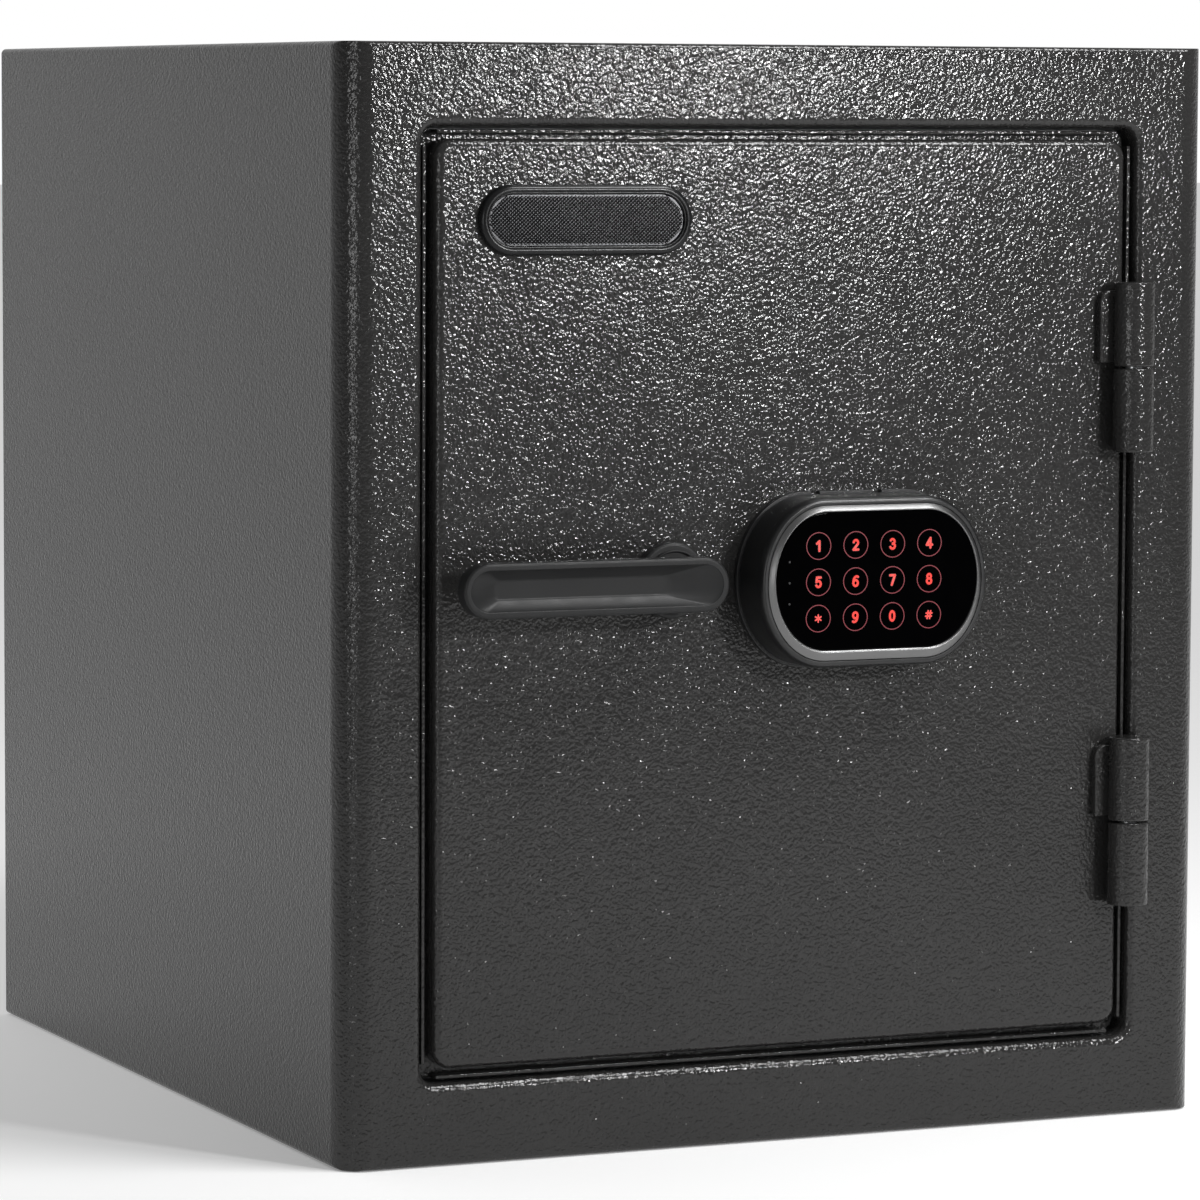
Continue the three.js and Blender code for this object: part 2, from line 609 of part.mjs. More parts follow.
function handleLever() {
  const w = LEVER_LEFT + LEVER_RIGHT;
  const x = LOCK_X + (LEVER_RIGHT - LEVER_LEFT) / 2;
  const ring = (inset) => outline(w - 2 * inset, LEVER_H - 2 * inset, LEVER_H / 2 - inset, LEVER_H / 2 - inset, 8);
  const body = loft([
    { points: ring(0.8), y: LEVER_FRONT },
    { points: ring(0), y: LEVER_FRONT + 1 },
    { points: ring(0), y: LEVER_BACK - 3 },
    { points: ring(1.5), y: LEVER_BACK },
  ], x, LOCK_Z);
  const scoop = loft([
    { points: ring(2.2), y: LEVER_FRONT - 1 },
    { points: ring(2.2), y: LEVER_FRONT },
    { points: ring(3.6), y: LEVER_FRONT + 2.5 },
    { points: ring(7), y: LEVER_FRONT + 5 },
  ], x, LOCK_Z);
  const socket = rodY(SPINDLE_R + GAP, LOCK_X, LOCK_Z, LEVER_FRONT + 9, LEVER_BACK + 1, 24);
  return cut(body, scoop, socket);
}

// ---------------------------------------------------------------- keypad

const PAD_STEPS = 10;
const padRing = (inset) => outline(
  PAD_W - 2 * inset, PAD_H - 2 * inset, PAD_END - inset, PAD_H / 2 - inset - 0.01, PAD_STEPS);

// The outline of the glass moved outwards, placed relative to the keypad's middle.
const glassRing = (grow) => outline(
  GLASS_W + 2 * grow, GLASS_H + 2 * grow, GLASS_END + grow, GLASS_H / 2 + grow - 0.01, PAD_STEPS)
  .map((p) => new THREE.Vector2(p.x, p.y + GLASS_RISE));

function keypadBase() {
  const body = prism(padRing(-1.4), -2.6, -GAP, PAD_X, PAD_Z);
  return cut(body, cableHole());
}

function keypadHousing() {
  const back = -2.6 - GAP;
  const rimY = PAD_FRONT + 2;
  const front = roundSteps(5, 4).map(({ inset, depth }) => (
    { points: padRing(inset * 0.4), y: rimY + depth }));
  const outer = loft([...front, { points: padRing(0), y: back }], PAD_X, PAD_Z);
  const cavity = prism(padRing(BEZEL_INSET + 2), rimY + 5, back + 1, PAD_X, PAD_Z);
  const window = prism(padRing(BEZEL_INSET), rimY - 1, rimY + 3, PAD_X, PAD_Z);
  const throat = prism(glassRing(-1), rimY - 1, rimY + 6, PAD_X, PAD_Z);
  return cut(outer, cavity, window, throat);
}

// The raised, chamfered rim that holds the glass.
function keypadBezel() {
  const y = PAD_FRONT;
  const outer = loft([
    { points: glassRing(0.8), y },
    { points: padRing(BEZEL_INSET + GAP), y: y + 2 },
    { points: padRing(BEZEL_INSET + GAP), y: y + 4.7 },
  ], PAD_X, PAD_Z);
  return cut(outer, prism(glassRing(0), y - 1, y + 6, PAD_X, PAD_Z));
}

const keypadGlass = () => prism(glassRing(-GAP), PAD_FRONT + 0.4, PAD_FRONT + 2.6, PAD_X, PAD_Z);
const keypadBoard = () => prism(outline(76, 46, 12), PAD_FRONT + 11, PAD_FRONT + 12.6, PAD_X, PAD_Z);
const keypadCable = () => rodY(2.5, PAD_X, PAD_Z, PAD_FRONT + 12.6 + GAP, SLAB_END + 3 - GAP, 10);

// ---------------------------------------------------------------- badge and solenoid

function badgeBezel() {
  const r = BADGE_H / 2;
  const ring = (inset) => outline(BADGE_W - 2 * inset, BADGE_H - 2 * inset, r - inset, r - inset, 8);
  const body = loft([
    { points: ring(2.2), y: -4.2 },
    { points: ring(0.6), y: -3.2 },
    { points: ring(0), y: -1.6 },
    { points: ring(0), y: -GAP },
  ], BADGE_X, BADGE_Z);
  return cut(body, prism(ring(4.2), -5, -2, BADGE_X, BADGE_Z));
}

function badgePlate() {
  const inset = 4.2 + GAP;
  const r = BADGE_H / 2 - inset;
  return prism(outline(BADGE_W - 2 * inset, BADGE_H - 2 * inset, r, r, 8), -3, -2 - GAP, BADGE_X, BADGE_Z);
}

const SOLENOID_Z = [TONGUE_Z[1] + 13, TONGUE_Z[1] + 55];

function solenoidBody() {
  const [z0, z1] = SOLENOID_Z;
  const body = box(PLUNGER_X - 13, PLUNGER_X + 13, SLAB_END + 1, PLUG_END - 1.5, z0, z1);
  return cut(body, rodZ(PLUNGER_R + GAP, PLUNGER_X, BOLT_Y, z0 - 1, z1 - 5, 20));
}

const solenoidPlunger = () => rodZ(PLUNGER_R, PLUNGER_X, BOLT_Y, TONGUE_Z[1] + 7.5, SOLENOID_Z[1] - 12, 20);

// ---------------------------------------------------------------- assembly

const safe = new THREE.Group();
const face = new THREE.Group();
face.position.y = -BODY_D / 2;
safe.add(face);

const cabinet = [
  piece('cabinet_shell', cabinetShell(), MAT.shell),
  piece('back_panel', backPanel(), MAT.shell),
  piece('cabinet_insulation', insulationFill(), MAT.fill),
  piece('door_frame', doorFrame(), MAT.interior),
  piece('door_seal', doorSeal(), MAT.rubber),
  piece('inner_liner', innerLiner(), MAT.interior),
  piece('floor_mat', floorMat(), MAT.carpet),
  piece('shelf', shelf(), MAT.interior),
  ...[-1, 1].flatMap((side) => [130, 390].map((y, i) => piece(
    `shelf_clip_${side < 0 ? 'left' : 'right'}_${i ? 'rear' : 'front'}`, shelfClip(side, y), MAT.steel))),
  ...ANCHOR_X.map((x, i) => piece(`anchor_plug_${i + 1}`, anchorPlug(x), MAT.rubber)),
  ...HINGE_MID_Z.flatMap((mid, i) => [
    piece(`hinge_${i ? 'lower' : 'upper'}_cabinet_knuckle`, cabinetKnuckle(mid), MAT.shell),
    piece(`hinge_${i ? 'lower' : 'upper'}_pin`, hingePin(mid), MAT.steel),
  ]),
];

const door = [
  piece('door_front_pan', doorFrontPan(), MAT.shell),
  piece('door_fire_board', doorFireBoard(), MAT.fill),
  piece('door_back_pan', doorBackPan(), MAT.shell),
  piece('door_plug_casing', plugCasing(), MAT.interior),
  piece('door_plug_insulation', plugInsulation(), MAT.fill),
  piece('door_inner_cover', innerCover(), MAT.interior),
  piece('battery_box', batteryBox(), MAT.plastic),
  piece('battery_lid', batteryLid(), MAT.plastic),
  ...[0, 1, 2, 3].map((i) => piece(`battery_cell_${i + 1}`, batteryCell(i), MAT.battery)),
  piece('lock_controller', lockController(), MAT.plastic),
  ...BOLT_Z.map((z, i) => piece(`bolt_guide_${i + 1}`, boltGuide(z), MAT.steel)),
  ...FIXED_BOLT_Z.map((z, i) => piece(`fixed_bolt_${i + 1}`, fixedBolt(z), MAT.chrome)),
  ...HINGE_MID_Z.map((mid, i) => piece(`hinge_${i ? 'lower' : 'upper'}_door_knuckle`, doorKnuckle(mid), MAT.shell)),
  piece('handle_rosette', handleRosette(), MAT.plastic),
  piece('keypad_base', keypadBase(), MAT.plastic),
  piece('keypad_housing', keypadHousing(), MAT.plastic),
  piece('keypad_bezel', keypadBezel(), MAT.bezel),
  piece('keypad_glass', keypadGlass(), MAT.glass),
  piece('keypad_board', keypadBoard(), MAT.board),
  piece('keypad_cable', keypadCable(), MAT.plastic),
  piece('badge_bezel', badgeBezel(), MAT.plastic),
  piece('badge_plate', badgePlate(), MAT.bezel),
  piece('solenoid_body', solenoidBody(), MAT.steel),
];

const moving = [
  piece('solenoid_plunger', solenoidPlunger(), MAT.steel),
  piece('bolt_carriage', boltCarriage(), MAT.steel),
  ...BOLT_Z.map((z, i) => piece(`live_bolt_${i + 1}`, liveBolt(z), MAT.chrome)),
  piece('handle_lever', handleLever(), MAT.plastic),
  piece('handle_collar', handleCollar(), MAT.plastic),
  piece('handle_spindle', spindle(), MAT.steel),
  piece('drive_crank', driveCrank(), MAT.steel),
  piece('spindle_nut', spindleNut(), MAT.steel),
];

face.add(...cabinet, ...door, ...moving);

export default safe;
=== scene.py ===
"""A fire-resistant safe with a touch keypad and a lever handle, on a pale studio floor.

Metres, +Z up, the door faces -Y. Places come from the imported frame's boxes. In the names below,
"depth" is the distance behind the cabinet's front face, so proud parts have a negative depth.
"""
import math

import bmesh
import bpy
from mathutils import Matrix, Vector


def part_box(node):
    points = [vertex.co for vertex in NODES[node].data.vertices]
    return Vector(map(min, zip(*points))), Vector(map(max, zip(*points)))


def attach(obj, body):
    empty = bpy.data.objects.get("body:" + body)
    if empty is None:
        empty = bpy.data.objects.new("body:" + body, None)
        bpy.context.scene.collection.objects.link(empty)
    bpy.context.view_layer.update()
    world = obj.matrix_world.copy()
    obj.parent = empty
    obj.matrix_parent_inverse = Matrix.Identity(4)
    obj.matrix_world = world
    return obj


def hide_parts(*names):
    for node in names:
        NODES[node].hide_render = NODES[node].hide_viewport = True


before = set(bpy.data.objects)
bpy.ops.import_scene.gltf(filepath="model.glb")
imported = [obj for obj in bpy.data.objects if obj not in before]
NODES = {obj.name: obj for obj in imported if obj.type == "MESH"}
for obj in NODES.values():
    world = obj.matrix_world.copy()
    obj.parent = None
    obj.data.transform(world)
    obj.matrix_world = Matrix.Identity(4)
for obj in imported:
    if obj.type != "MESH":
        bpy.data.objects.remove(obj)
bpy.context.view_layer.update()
MM = 0.001

# ---------------------------------------------------------------- places taken from the frame

SHELL_LO, SHELL_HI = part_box("cabinet_shell")
FRONT_Y = SHELL_LO.y
BODY_W = SHELL_HI.x - SHELL_LO.x
BODY_H = SHELL_HI.z - SHELL_LO.z
BODY_D = SHELL_HI.y - SHELL_LO.y
SHEET = 2 * MM
FRONT_EDGE_R = 15 * MM
FOLD_R = 2.5 * MM
ROLL_R = 4 * MM
JAMB_DEPTH = 16 * MM
DOOR_CORNER = 8.2 * MM
AXIS_HOLE_R = 0.05 * MM


def middle(node):
    lo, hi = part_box(node)
    return (lo + hi) / 2


def size(node):
    lo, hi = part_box(node)
    return hi - lo


def depth_of(y):
    return y - FRONT_Y


# ---------------------------------------------------------------- mesh helpers

def outline(w, h, rx, rz=None, steps=8):
    """(x, z) pairs of a rectangle with quarter-ellipse corners, anticlockwise from the front."""
    rz = rx if rz is None else rz
    points = []
    for i, (sx, sz) in enumerate([(1, 1), (-1, 1), (-1, -1), (1, -1)]):
        for k in range(steps + 1):
            a = (i + k / steps) * math.pi / 2
            x = sx * (w / 2 - rx) + rx * math.cos(a)
            z = sz * (h / 2 - rz) + rz * math.sin(a)
            points.append((x, z))
    return points


def circle(r, steps=48):
    turns = [2 * math.pi * k / steps for k in range(steps)]
    return [(r * math.cos(a), r * math.sin(a)) for a in turns]


def between(first, second, share):
    """The outline part of the way from one outline to another of equal point count."""
    return [(a + (c - a) * share, b + (d - b) * share) for (a, b), (c, d) in zip(first, second)]


def ring_at(points, depth, centre):
    """The outline as a ring of 3-D points at a depth behind the front face, about centre (x, z)."""
    return [Vector((centre[0] + x, FRONT_Y + depth, centre[1] + z)) for x, z in points]


def quarter(r, steps):
    """(inset, depth) pairs of a convex quarter round that starts on the face and ends on the side."""
    pairs = []
    for k in range(steps + 1):
        a = math.radians(90 * k / steps)
        pairs.append((r * (1 - math.sin(a)), r * (1 - math.cos(a))))
    return pairs


def make_piece(name, verts, faces, material, body, nodes=(), sharp=32):
    """A mesh piece in the row frame that rides on a body and stands for the given CAD nodes."""
    mesh = bpy.data.meshes.new(name)
    mesh.from_pydata([tuple(v) for v in verts], [], faces)
    mesh.validate()
    bm = bmesh.new()
    bm.from_mesh(mesh)
    bmesh.ops.remove_doubles(bm, verts=bm.verts, dist=1e-6)
    bmesh.ops.recalc_face_normals(bm, faces=bm.faces)
    bm.to_mesh(mesh)
    bm.free()
    obj = bpy.data.objects.new(name, mesh)
    bpy.context.scene.collection.objects.link(obj)
    return finish_piece(obj, material, body, nodes, sharp)


def finish_piece(obj, material, body, nodes=(), sharp=32):
    mesh = obj.data
    mesh.materials.clear()
    mesh.materials.append(material)
    mesh.polygons.foreach_set("use_smooth", [True] * len(mesh.polygons))
    mesh.set_sharp_from_angle(angle=math.radians(sharp))
    weighted = obj.modifiers.new("Weighted normals", "WEIGHTED_NORMAL")
    weighted.keep_sharp = True
    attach(obj, body)
    if nodes:
        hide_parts(*nodes)
    return obj


def loft_faces(rings, cap_first, cap_last, base=0):
    count = len(rings[0])
    faces = []
    for s in range(len(rings) - 1):
        for k in range(count):
            a = base + s * count + k
            b = base + s * count + (k + 1) % count
            faces.append((a, a + count, b + count, b))
    if cap_first:
        faces.append(tuple(range(base, base + count)))
    if cap_last:
        last = base + (len(rings) - 1) * count
        faces.append(tuple(range(last + count - 1, last - 1, -1)))
    return faces


def loft(name, rings, material, body, nodes=(), caps=(True, True), sharp=32):
    """A piece skinned over rings of equal point count."""
    verts = [v for ring in rings for v in ring]
    return make_piece(name, verts, loft_faces(rings, *caps), material, body, nodes, sharp)


def lofts(name, groups, material, body, nodes=(), sharp=32):
    """Several closed lofts in one piece."""
    verts, faces = [], []
    for rings in groups:
        faces += loft_faces(rings, True, True, len(verts))
        verts += [v for ring in rings for v in ring]
    return make_piece(name, verts, faces, material, body, nodes, sharp)


def lathe_y(profile, centre, steps=64):
    """Rings of (radius, depth) pairs about an axis along Y through centre (x, z)."""
    return [ring_at(circle(r, steps), depth, centre) for r, depth in profile]


def lathe_z(profile, centre, steps=48):
    """Rings of (radius, z) pairs about an upright axis through centre (x, y)."""
    return [[Vector((centre[0] + x, centre[1] + y, z)) for x, y in circle(r, steps)] for r, z in profile]


def soft_block(lo, hi, r, steps=3):
    """Rings of a block with rounded edges all round, stacked along Y."""
    w, h = hi.x - lo.x, hi.z - lo.z
    x_mid, z_mid = (hi.x + lo.x) / 2, (hi.z + lo.z) / 2
    least_corner = 0.02 * r
    levels = [(inset, lo.y + d) for inset, d in quarter(r, steps)]
    levels += [(inset, hi.y - d) for inset, d in reversed(quarter(r, steps))]
    rings = []
    for inset, y in levels:
        points = outline(w - 2 * inset, h - 2 * inset, max(r - inset, least_corner), steps=steps)
        rings.append([Vector((x_mid + x, y, z_mid + z)) for x, z in points])
    return rings


# ---------------------------------------------------------------- materials

class Nodes:
    """Small helper for building a material's node tree."""

    def __init__(self, name):
        self.material = bpy.data.materials.new(name)
        self.material.use_nodes = True
        self.tree = self.material.node_tree
        self.shader = self.tree.nodes["Principled BSDF"]
        self.place = self.add("ShaderNodeTexCoord").outputs["Object"]

    def add(self, kind, links=(), **settings):
        node = self.tree.nodes.new(kind)
        for key, value in settings.items():
            if hasattr(node, key):
                setattr(node, key, value)
            else:
                node.inputs[key.replace("_", " ")].default_value = value
        for key, source in dict(links).items():
            self.tree.links.new(source, node.inputs[key])
        return node

    def noise(self, scale, detail=2.0, roughness=0.5, distortion=0.0, vector=None):
        node = self.add("ShaderNodeTexNoise", {"Vector": vector or self.place})
        node.inputs["Scale"].default_value = scale
        node.inputs["Detail"].default_value = detail
        node.inputs["Roughness"].default_value = roughness
        node.inputs["Distortion"].default_value = distortion
        return node.outputs["Fac"]

    def cells(self, scale, smoothness=0.5, vector=None):
        node = self.add("ShaderNodeTexVoronoi", {"Vector": vector or self.place}, feature="SMOOTH_F1")
        node.inputs["Scale"].default_value = scale
        node.inputs["Smoothness"].default_value = smoothness
        return node.outputs["Distance"]

    def math(self, operation, a, b=0.0):
        node = self.add("ShaderNodeMath", operation=operation)
        for i, value in enumerate((a, b)):
            if isinstance(value, (int, float)):
                node.inputs[i].default_value = value
            else:
                self.tree.links.new(value, node.inputs[i])
        return node.outputs[0]

    def ramp(self, factor, stops):
        node = self.add("ShaderNodeValToRGB", {"Fac": factor})
        elements = node.color_ramp.elements
        while len(elements) < len(stops):
            elements.new(0.5)
        for element, (position, value) in zip(elements, stops):
            element.position = position
            element.color = (*value, 1) if isinstance(value, tuple) else (value, value, value, 1)
        return node.outputs["Color"]

    def warp(self, scale, amount):
        """The object coordinates, pushed about by a noise."""
        noise = self.add("ShaderNodeTexNoise", {"Vector": self.place})
        noise.inputs["Scale"].default_value = scale
        scaled = self.add("ShaderNodeVectorMath", {0: noise.outputs["Color"]}, operation="SCALE")
        scaled.inputs["Scale"].default_value = amount
        moved = self.add("ShaderNodeVectorMath", {0: self.place, 1: scaled.outputs[0]}, operation="ADD")
        return moved.outputs[0]

    def mottle(self, factor, base, low, high, start=0.3, end=0.7):
        """The base colour times a share that goes from low to high as the factor rises."""
        darker, lighter = (tuple(c * share for c in base) for share in (low, high))
        return self.ramp(factor, [(start, darker), (end, lighter)])

    def bump(self, height, distance, strength=1.0):
        node = self.add("ShaderNodeBump", {"Height": height})
        node.inputs["Strength"].default_value = strength
        node.inputs["Distance"].default_value = distance
        return node.outputs["Normal"]

    def set(self, **values):
        for key, value in values.items():
            socket = self.shader.inputs[key.replace("_", " ")]
            if isinstance(value, bpy.types.NodeSocket):
                self.tree.links.new(value, socket)
            elif isinstance(value, tuple):
                socket.default_value = (*value, 1)
            else:
                socket.default_value = value
        return self.material


def hammered_paint(name, base, relief, gloss=(0.08, 0.15)):
    """Textured powder coat: rounded beads about 1.4 mm across with finer grain between them."""
    n = Nodes(name)
    warped = n.warp(400, 0.0014)
    beads = n.cells(700, 0.7, warped)
    swells = n.noise(480, 1.5, 0.5, 0.6, warped)
    grain = n.noise(2200, 2.0, 0.6)
    height = n.math("ADD", n.math("MULTIPLY", beads, -0.75), n.math("MULTIPLY", swells, 1.1))
    height = n.math("ADD", height, n.math("MULTIPLY", grain, 0.10))
    patches = n.noise(9, 3.0, 0.6)
    flecks = n.noise(1200, 2.0, 0.7)
    shade = n.math("ADD", n.math("MULTIPLY", patches, 0.5), n.math("MULTIPLY", flecks, 0.5))
    rough = n.ramp(n.noise(420, 2.0, 0.6), [(0.3, gloss[0]), (0.7, gloss[1])])
    return n.set(
        Base_Color=n.mottle(shade, base, 0.86, 1.16, 0.35, 0.65),
        Roughness=rough,
        Specular_IOR_Level=0.36,
        Normal=n.bump(height, relief),
    )


def smooth_enamel(name, base, rough=0.38):
    """Smooth sprayed enamel with a faint orange peel."""
    n = Nodes(name)
    peel = n.noise(240, 2.0, 0.5)
    return n.set(
        Base_Color=n.mottle(n.noise(14, 3.0, 0.6), base, 0.93, 1.06),
        Roughness=n.ramp(n.noise(60, 3.0, 0.6), [(0.3, rough - 0.05), (0.7, rough + 0.07)]),
        Normal=n.bump(peel, 0.00008, 0.6),
    )


def moulded_plastic(name, base, rough, grain=0.00002, grain_scale=2600, shine=0.5, ior=1.5):
    """Plastic with a moulded-in grain; shine and ior set how strongly it mirrors."""
    n = Nodes(name)
    return n.set(
        Base_Color=n.mottle(n.noise(40, 3.0, 0.6), base, 0.92, 1.08),
        Roughness=n.ramp(n.noise(130, 3.0, 0.6), [(0.3, rough - 0.04), (0.7, rough + 0.05)]),
        Specular_IOR_Level=shine,
        IOR=ior,
        Normal=n.bump(n.noise(grain_scale, 2.0, 0.6), grain),
    )


def metal(name, base, rough, grain=(1, 1, 1), relief=0.00001):
    """Bare metal; grain stretches its brush marks along the axis with the small number."""
    n = Nodes(name)
    mapping = n.add("ShaderNodeMapping", {"Vector": n.place})
    mapping.inputs["Scale"].default_value = grain
    marks = n.noise(900, 3.0, 0.6, vector=mapping.outputs[0])
    return n.set(
        Base_Color=n.mottle(n.noise(50, 3.0, 0.6), base, 0.9, 1.0),
        Metallic=1.0,
        Roughness=n.ramp(marks, [(0.3, rough * 0.8), (0.7, rough * 1.25)]),
        Normal=n.bump(marks, relief),
    )


def fibre(name, base):
    """Short matted felt."""
    n = Nodes(name)
    tufts = n.cells(1400, 0.4, n.warp(500, 0.001))
    shade = n.mottle(n.noise(600, 3.0, 0.7), base, 0.6, 1.5)
    return n.set(Base_Color=shade, Roughness=0.95, Normal=n.bump(tufts, 0.0006))


def cast_fill(name, base):
    """Dry cast mineral with small pores."""
    n = Nodes(name)
    pores = n.cells(300, 0.3)
    shade = n.mottle(n.noise(80, 4.0, 0.7), base, 0.85, 1.0)
    return n.set(Base_Color=shade, Roughness=0.95, Normal=n.bump(pores, 0.0008, 0.5))


def lit_ink(name, colour, strength):
    """Back-lit printing: the colour glows, with a slight unevenness across each figure."""
    n = Nodes(name)
    shade = n.mottle(n.noise(900, 2.0, 0.5), colour, 0.85, 1.0)
    return n.set(
        Base_Color=(0.0, 0.0, 0.0), Roughness=0.4, Emission_Color=shade, Emission_Strength=strength)


def black_glass(name):
    """Glass painted black behind, with faint smears in its polish."""
    n = Nodes(name)
    smear = n.noise(60, 4.0, 0.65, 0.8)
    clean, smeared = (0.0002, 0.0002, 0.0003), (0.0004, 0.0004, 0.0005)
    return n.set(
        Base_Color=n.ramp(smear, [(0.3, clean), (0.7, smeared)]),
        Roughness=n.ramp(smear, [(0.35, 0.05), (0.75, 0.09)]),
        Specular_IOR_Level=0.02,
    )


PAINT = hammered_paint("Graphite hammered powder coat", (0.0175, 0.0171, 0.0168), 0.00026)
INNER = smooth_enamel("Grey interior enamel", (0.21, 0.215, 0.22))
BLACK = moulded_plastic("Black moulded plastic", (0.006, 0.006, 0.0065), 0.5)
LEVER = moulded_plastic("Dark grey satin handle plastic", (0.012, 0.0122, 0.0125), 0.4,
                        grain=0.00003, grain_scale=2200, shine=0.22)
HOUSING = moulded_plastic("Keypad housing plastic", (0.006, 0.0062, 0.0066), 0.32, grain=0.000012)
BEZEL = moulded_plastic("Keypad bezel satin coating", (0.007, 0.0071, 0.0073), 0.33,
                        grain=0.00007, grain_scale=1900, shine=1.0, ior=1.8)
BADGE_RIM = moulded_plastic("Badge rim plastic", (0.005, 0.0052, 0.0056), 0.26, grain=0.00001, shine=0.25)
KNURL = metal("Badge knurled metal", (0.085, 0.085, 0.088), 0.24)
STEEL = metal("Zinc plated steel", (0.5, 0.51, 0.52), 0.32, relief=0.00002)
CHROME = metal("Polished bolt steel", (0.72, 0.73, 0.75), 0.14, grain=(0.1, 1, 1))
RUBBER = moulded_plastic("Black seal rubber", (0.008, 0.008, 0.008), 0.8, grain=0.00005, grain_scale=1200)
MAT = fibre("Charcoal floor felt", (0.018, 0.018, 0.02))
FILL = cast_fill("Cast mineral filling", (0.48, 0.45, 0.4))
BOARD = moulded_plastic("Circuit board lacquer", (0.01, 0.09, 0.03), 0.35)
JACKET = metal("Battery jacket", (0.16, 0.14, 0.12), 0.3)
TOUCH_GLASS = black_glass("Black touch glass")
FIGURES = lit_ink("Lit red figures", (1.0, 0.085, 0.07), 1.3)
HALO = lit_ink("Red glow round the figures", (0.1, 0.002, 0.004), 1.0)
KEY_RINGS = lit_ink("Dim red key rings", (0.26, 0.018, 0.032), 1.0)
DOTS = lit_ink("Unlit indicator dots", (0.002, 0.002, 0.003), 1.0)

# ---------------------------------------------------------------- cabinet


def round_inset(r, depth):
    """How far a convex quarter round of radius r stands in from its side at a depth behind its face."""
    return r - math.sqrt(max(r ** 2 - (r - min(depth, r)) ** 2, 0))


def cabinet_skin():
    """The folded sheet cabinet: jamb, rolled edge of the opening, front frame, rounded sides, back rim."""
    frame_size = size("door_frame")
    open_w, open_h, open_corner = frame_size.x - 2 * SHEET, frame_size.z - 2 * SHEET, 7 * MM
    centre = (0, BODY_H / 2)
    rings = [ring_at(outline(open_w, open_h, open_corner), JAMB_DEPTH, centre)]
    for grow, depth in reversed(quarter(ROLL_R, 8)):
        points = outline(open_w + 2 * grow, open_h + 2 * grow, open_corner + grow)
        rings.append(ring_at(points, depth, centre))
    depths = [FRONT_EDGE_R * (1 - math.cos(math.radians(a))) for a in range(0, 91, 5)]
    depths += [FOLD_R * (1 - math.cos(math.radians(a))) for a in (15, 30, 45, 60, 75, 90)]
    least_corner = 0.3 * MM
    for depth in sorted(set(round(d, 7) for d in depths)):
        side = round_inset(FRONT_EDGE_R, depth)
        fold = round_inset(FOLD_R, depth)
        corner = max(FOLD_R - side, least_corner)
        rings.append(ring_at(outline(BODY_W - 2 * side, BODY_H - 2 * fold, corner), depth, centre))
    rings.append(ring_at(outline(BODY_W, BODY_H, FOLD_R), BODY_D - FOLD_R, centre))
    rim_round, rim_return = 1.2 * MM, 6 * MM
    for inset, depth in reversed(quarter(rim_round, 4)):
        points = outline(BODY_W - 2 * inset, BODY_H - 2 * inset, FOLD_R)
        rings.append(ring_at(points, BODY_D - depth, centre))
    inner = outline(BODY_W - 2 * SHEET, BODY_H - 2 * SHEET, 1 * MM)
    for depth in (0.4 * MM, rim_return):
        rings.append(ring_at(inner, BODY_D - depth, centre))
    return loft("cabinet_skin", rings, PAINT, "cabinet", ["cabinet_shell"], (False, False), 28)


def hinge_leaf(lo, hi, side):
    """A leaf's rings from the face outwards: softened edges, and a rounder corner at its free top end."""
    free_corner, other_corners, soft = 5 * MM, 1.2 * MM, 1.0 * MM
    steps = 6
    rings = []
    for inset, depth in reversed(quarter(soft, 4)):
        points = []
        for i, (sx, sz) in enumerate([(1, 1), (-1, 1), (-1, -1), (1, -1)]):
            r = (free_corner if (sx, sz) == (side, 1) else other_corners) - inset
            cx = (hi.x if sx > 0 else lo.x) - sx * (r + inset)
            cz = (hi.z if sz > 0 else lo.z) - sz * (r + inset)
            for k in range(steps + 1):
                a = (i + k / steps) * math.pi / 2
                points.append(Vector((cx + r * math.cos(a), lo.y + depth, cz + r * math.sin(a))))
        rings.append(points)
    rings.insert(0, [Vector((p.x, hi.y, p.z)) for p in rings[0]])
    return rings


def knuckle(name, barrel_node, body, leaf_side):
    """One hinge knuckle: a barrel with softened ends and its leaf on the face beside it."""
    lo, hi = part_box(barrel_node)
    pin = middle(barrel_node.replace("_door_knuckle", "_pin").replace("_cabinet_knuckle", "_pin"))
    radius = pin.y - lo.y
    end_round = quarter(0.9 * MM, 4)
    profile = [(AXIS_HOLE_R, lo.z), (radius - end_round[0][0], lo.z)]
    profile += [(radius - inset, lo.z + depth) for inset, depth in end_round[1:]]
    profile += [(radius - inset, hi.z - depth) for inset, depth in reversed(end_round)]
    profile += [(AXIS_HOLE_R, hi.z)]
    barrel = lathe_z(profile, (pin.x, pin.y))
    leaf_front = FRONT_Y - 4.8 * MM
    leaf_back = FRONT_Y - 0.3 * MM
    into_barrel = 2 * MM
    if leaf_side < 0:
        leaf_lo = Vector((lo.x, leaf_front, lo.z + 1.4 * MM))
        leaf_hi = Vector((pin.x - into_barrel, leaf_back, hi.z - 4 * MM))
    else:
        leaf_lo = Vector((pin.x + into_barrel, leaf_front, lo.z + 2 * MM))
        leaf_hi = Vector((hi.x, leaf_back, hi.z - 2 * MM))
    leaf = hinge_leaf(leaf_lo, leaf_hi, leaf_side)
    return lofts(name, [barrel, leaf], PAINT, body, [barrel_node], 40)


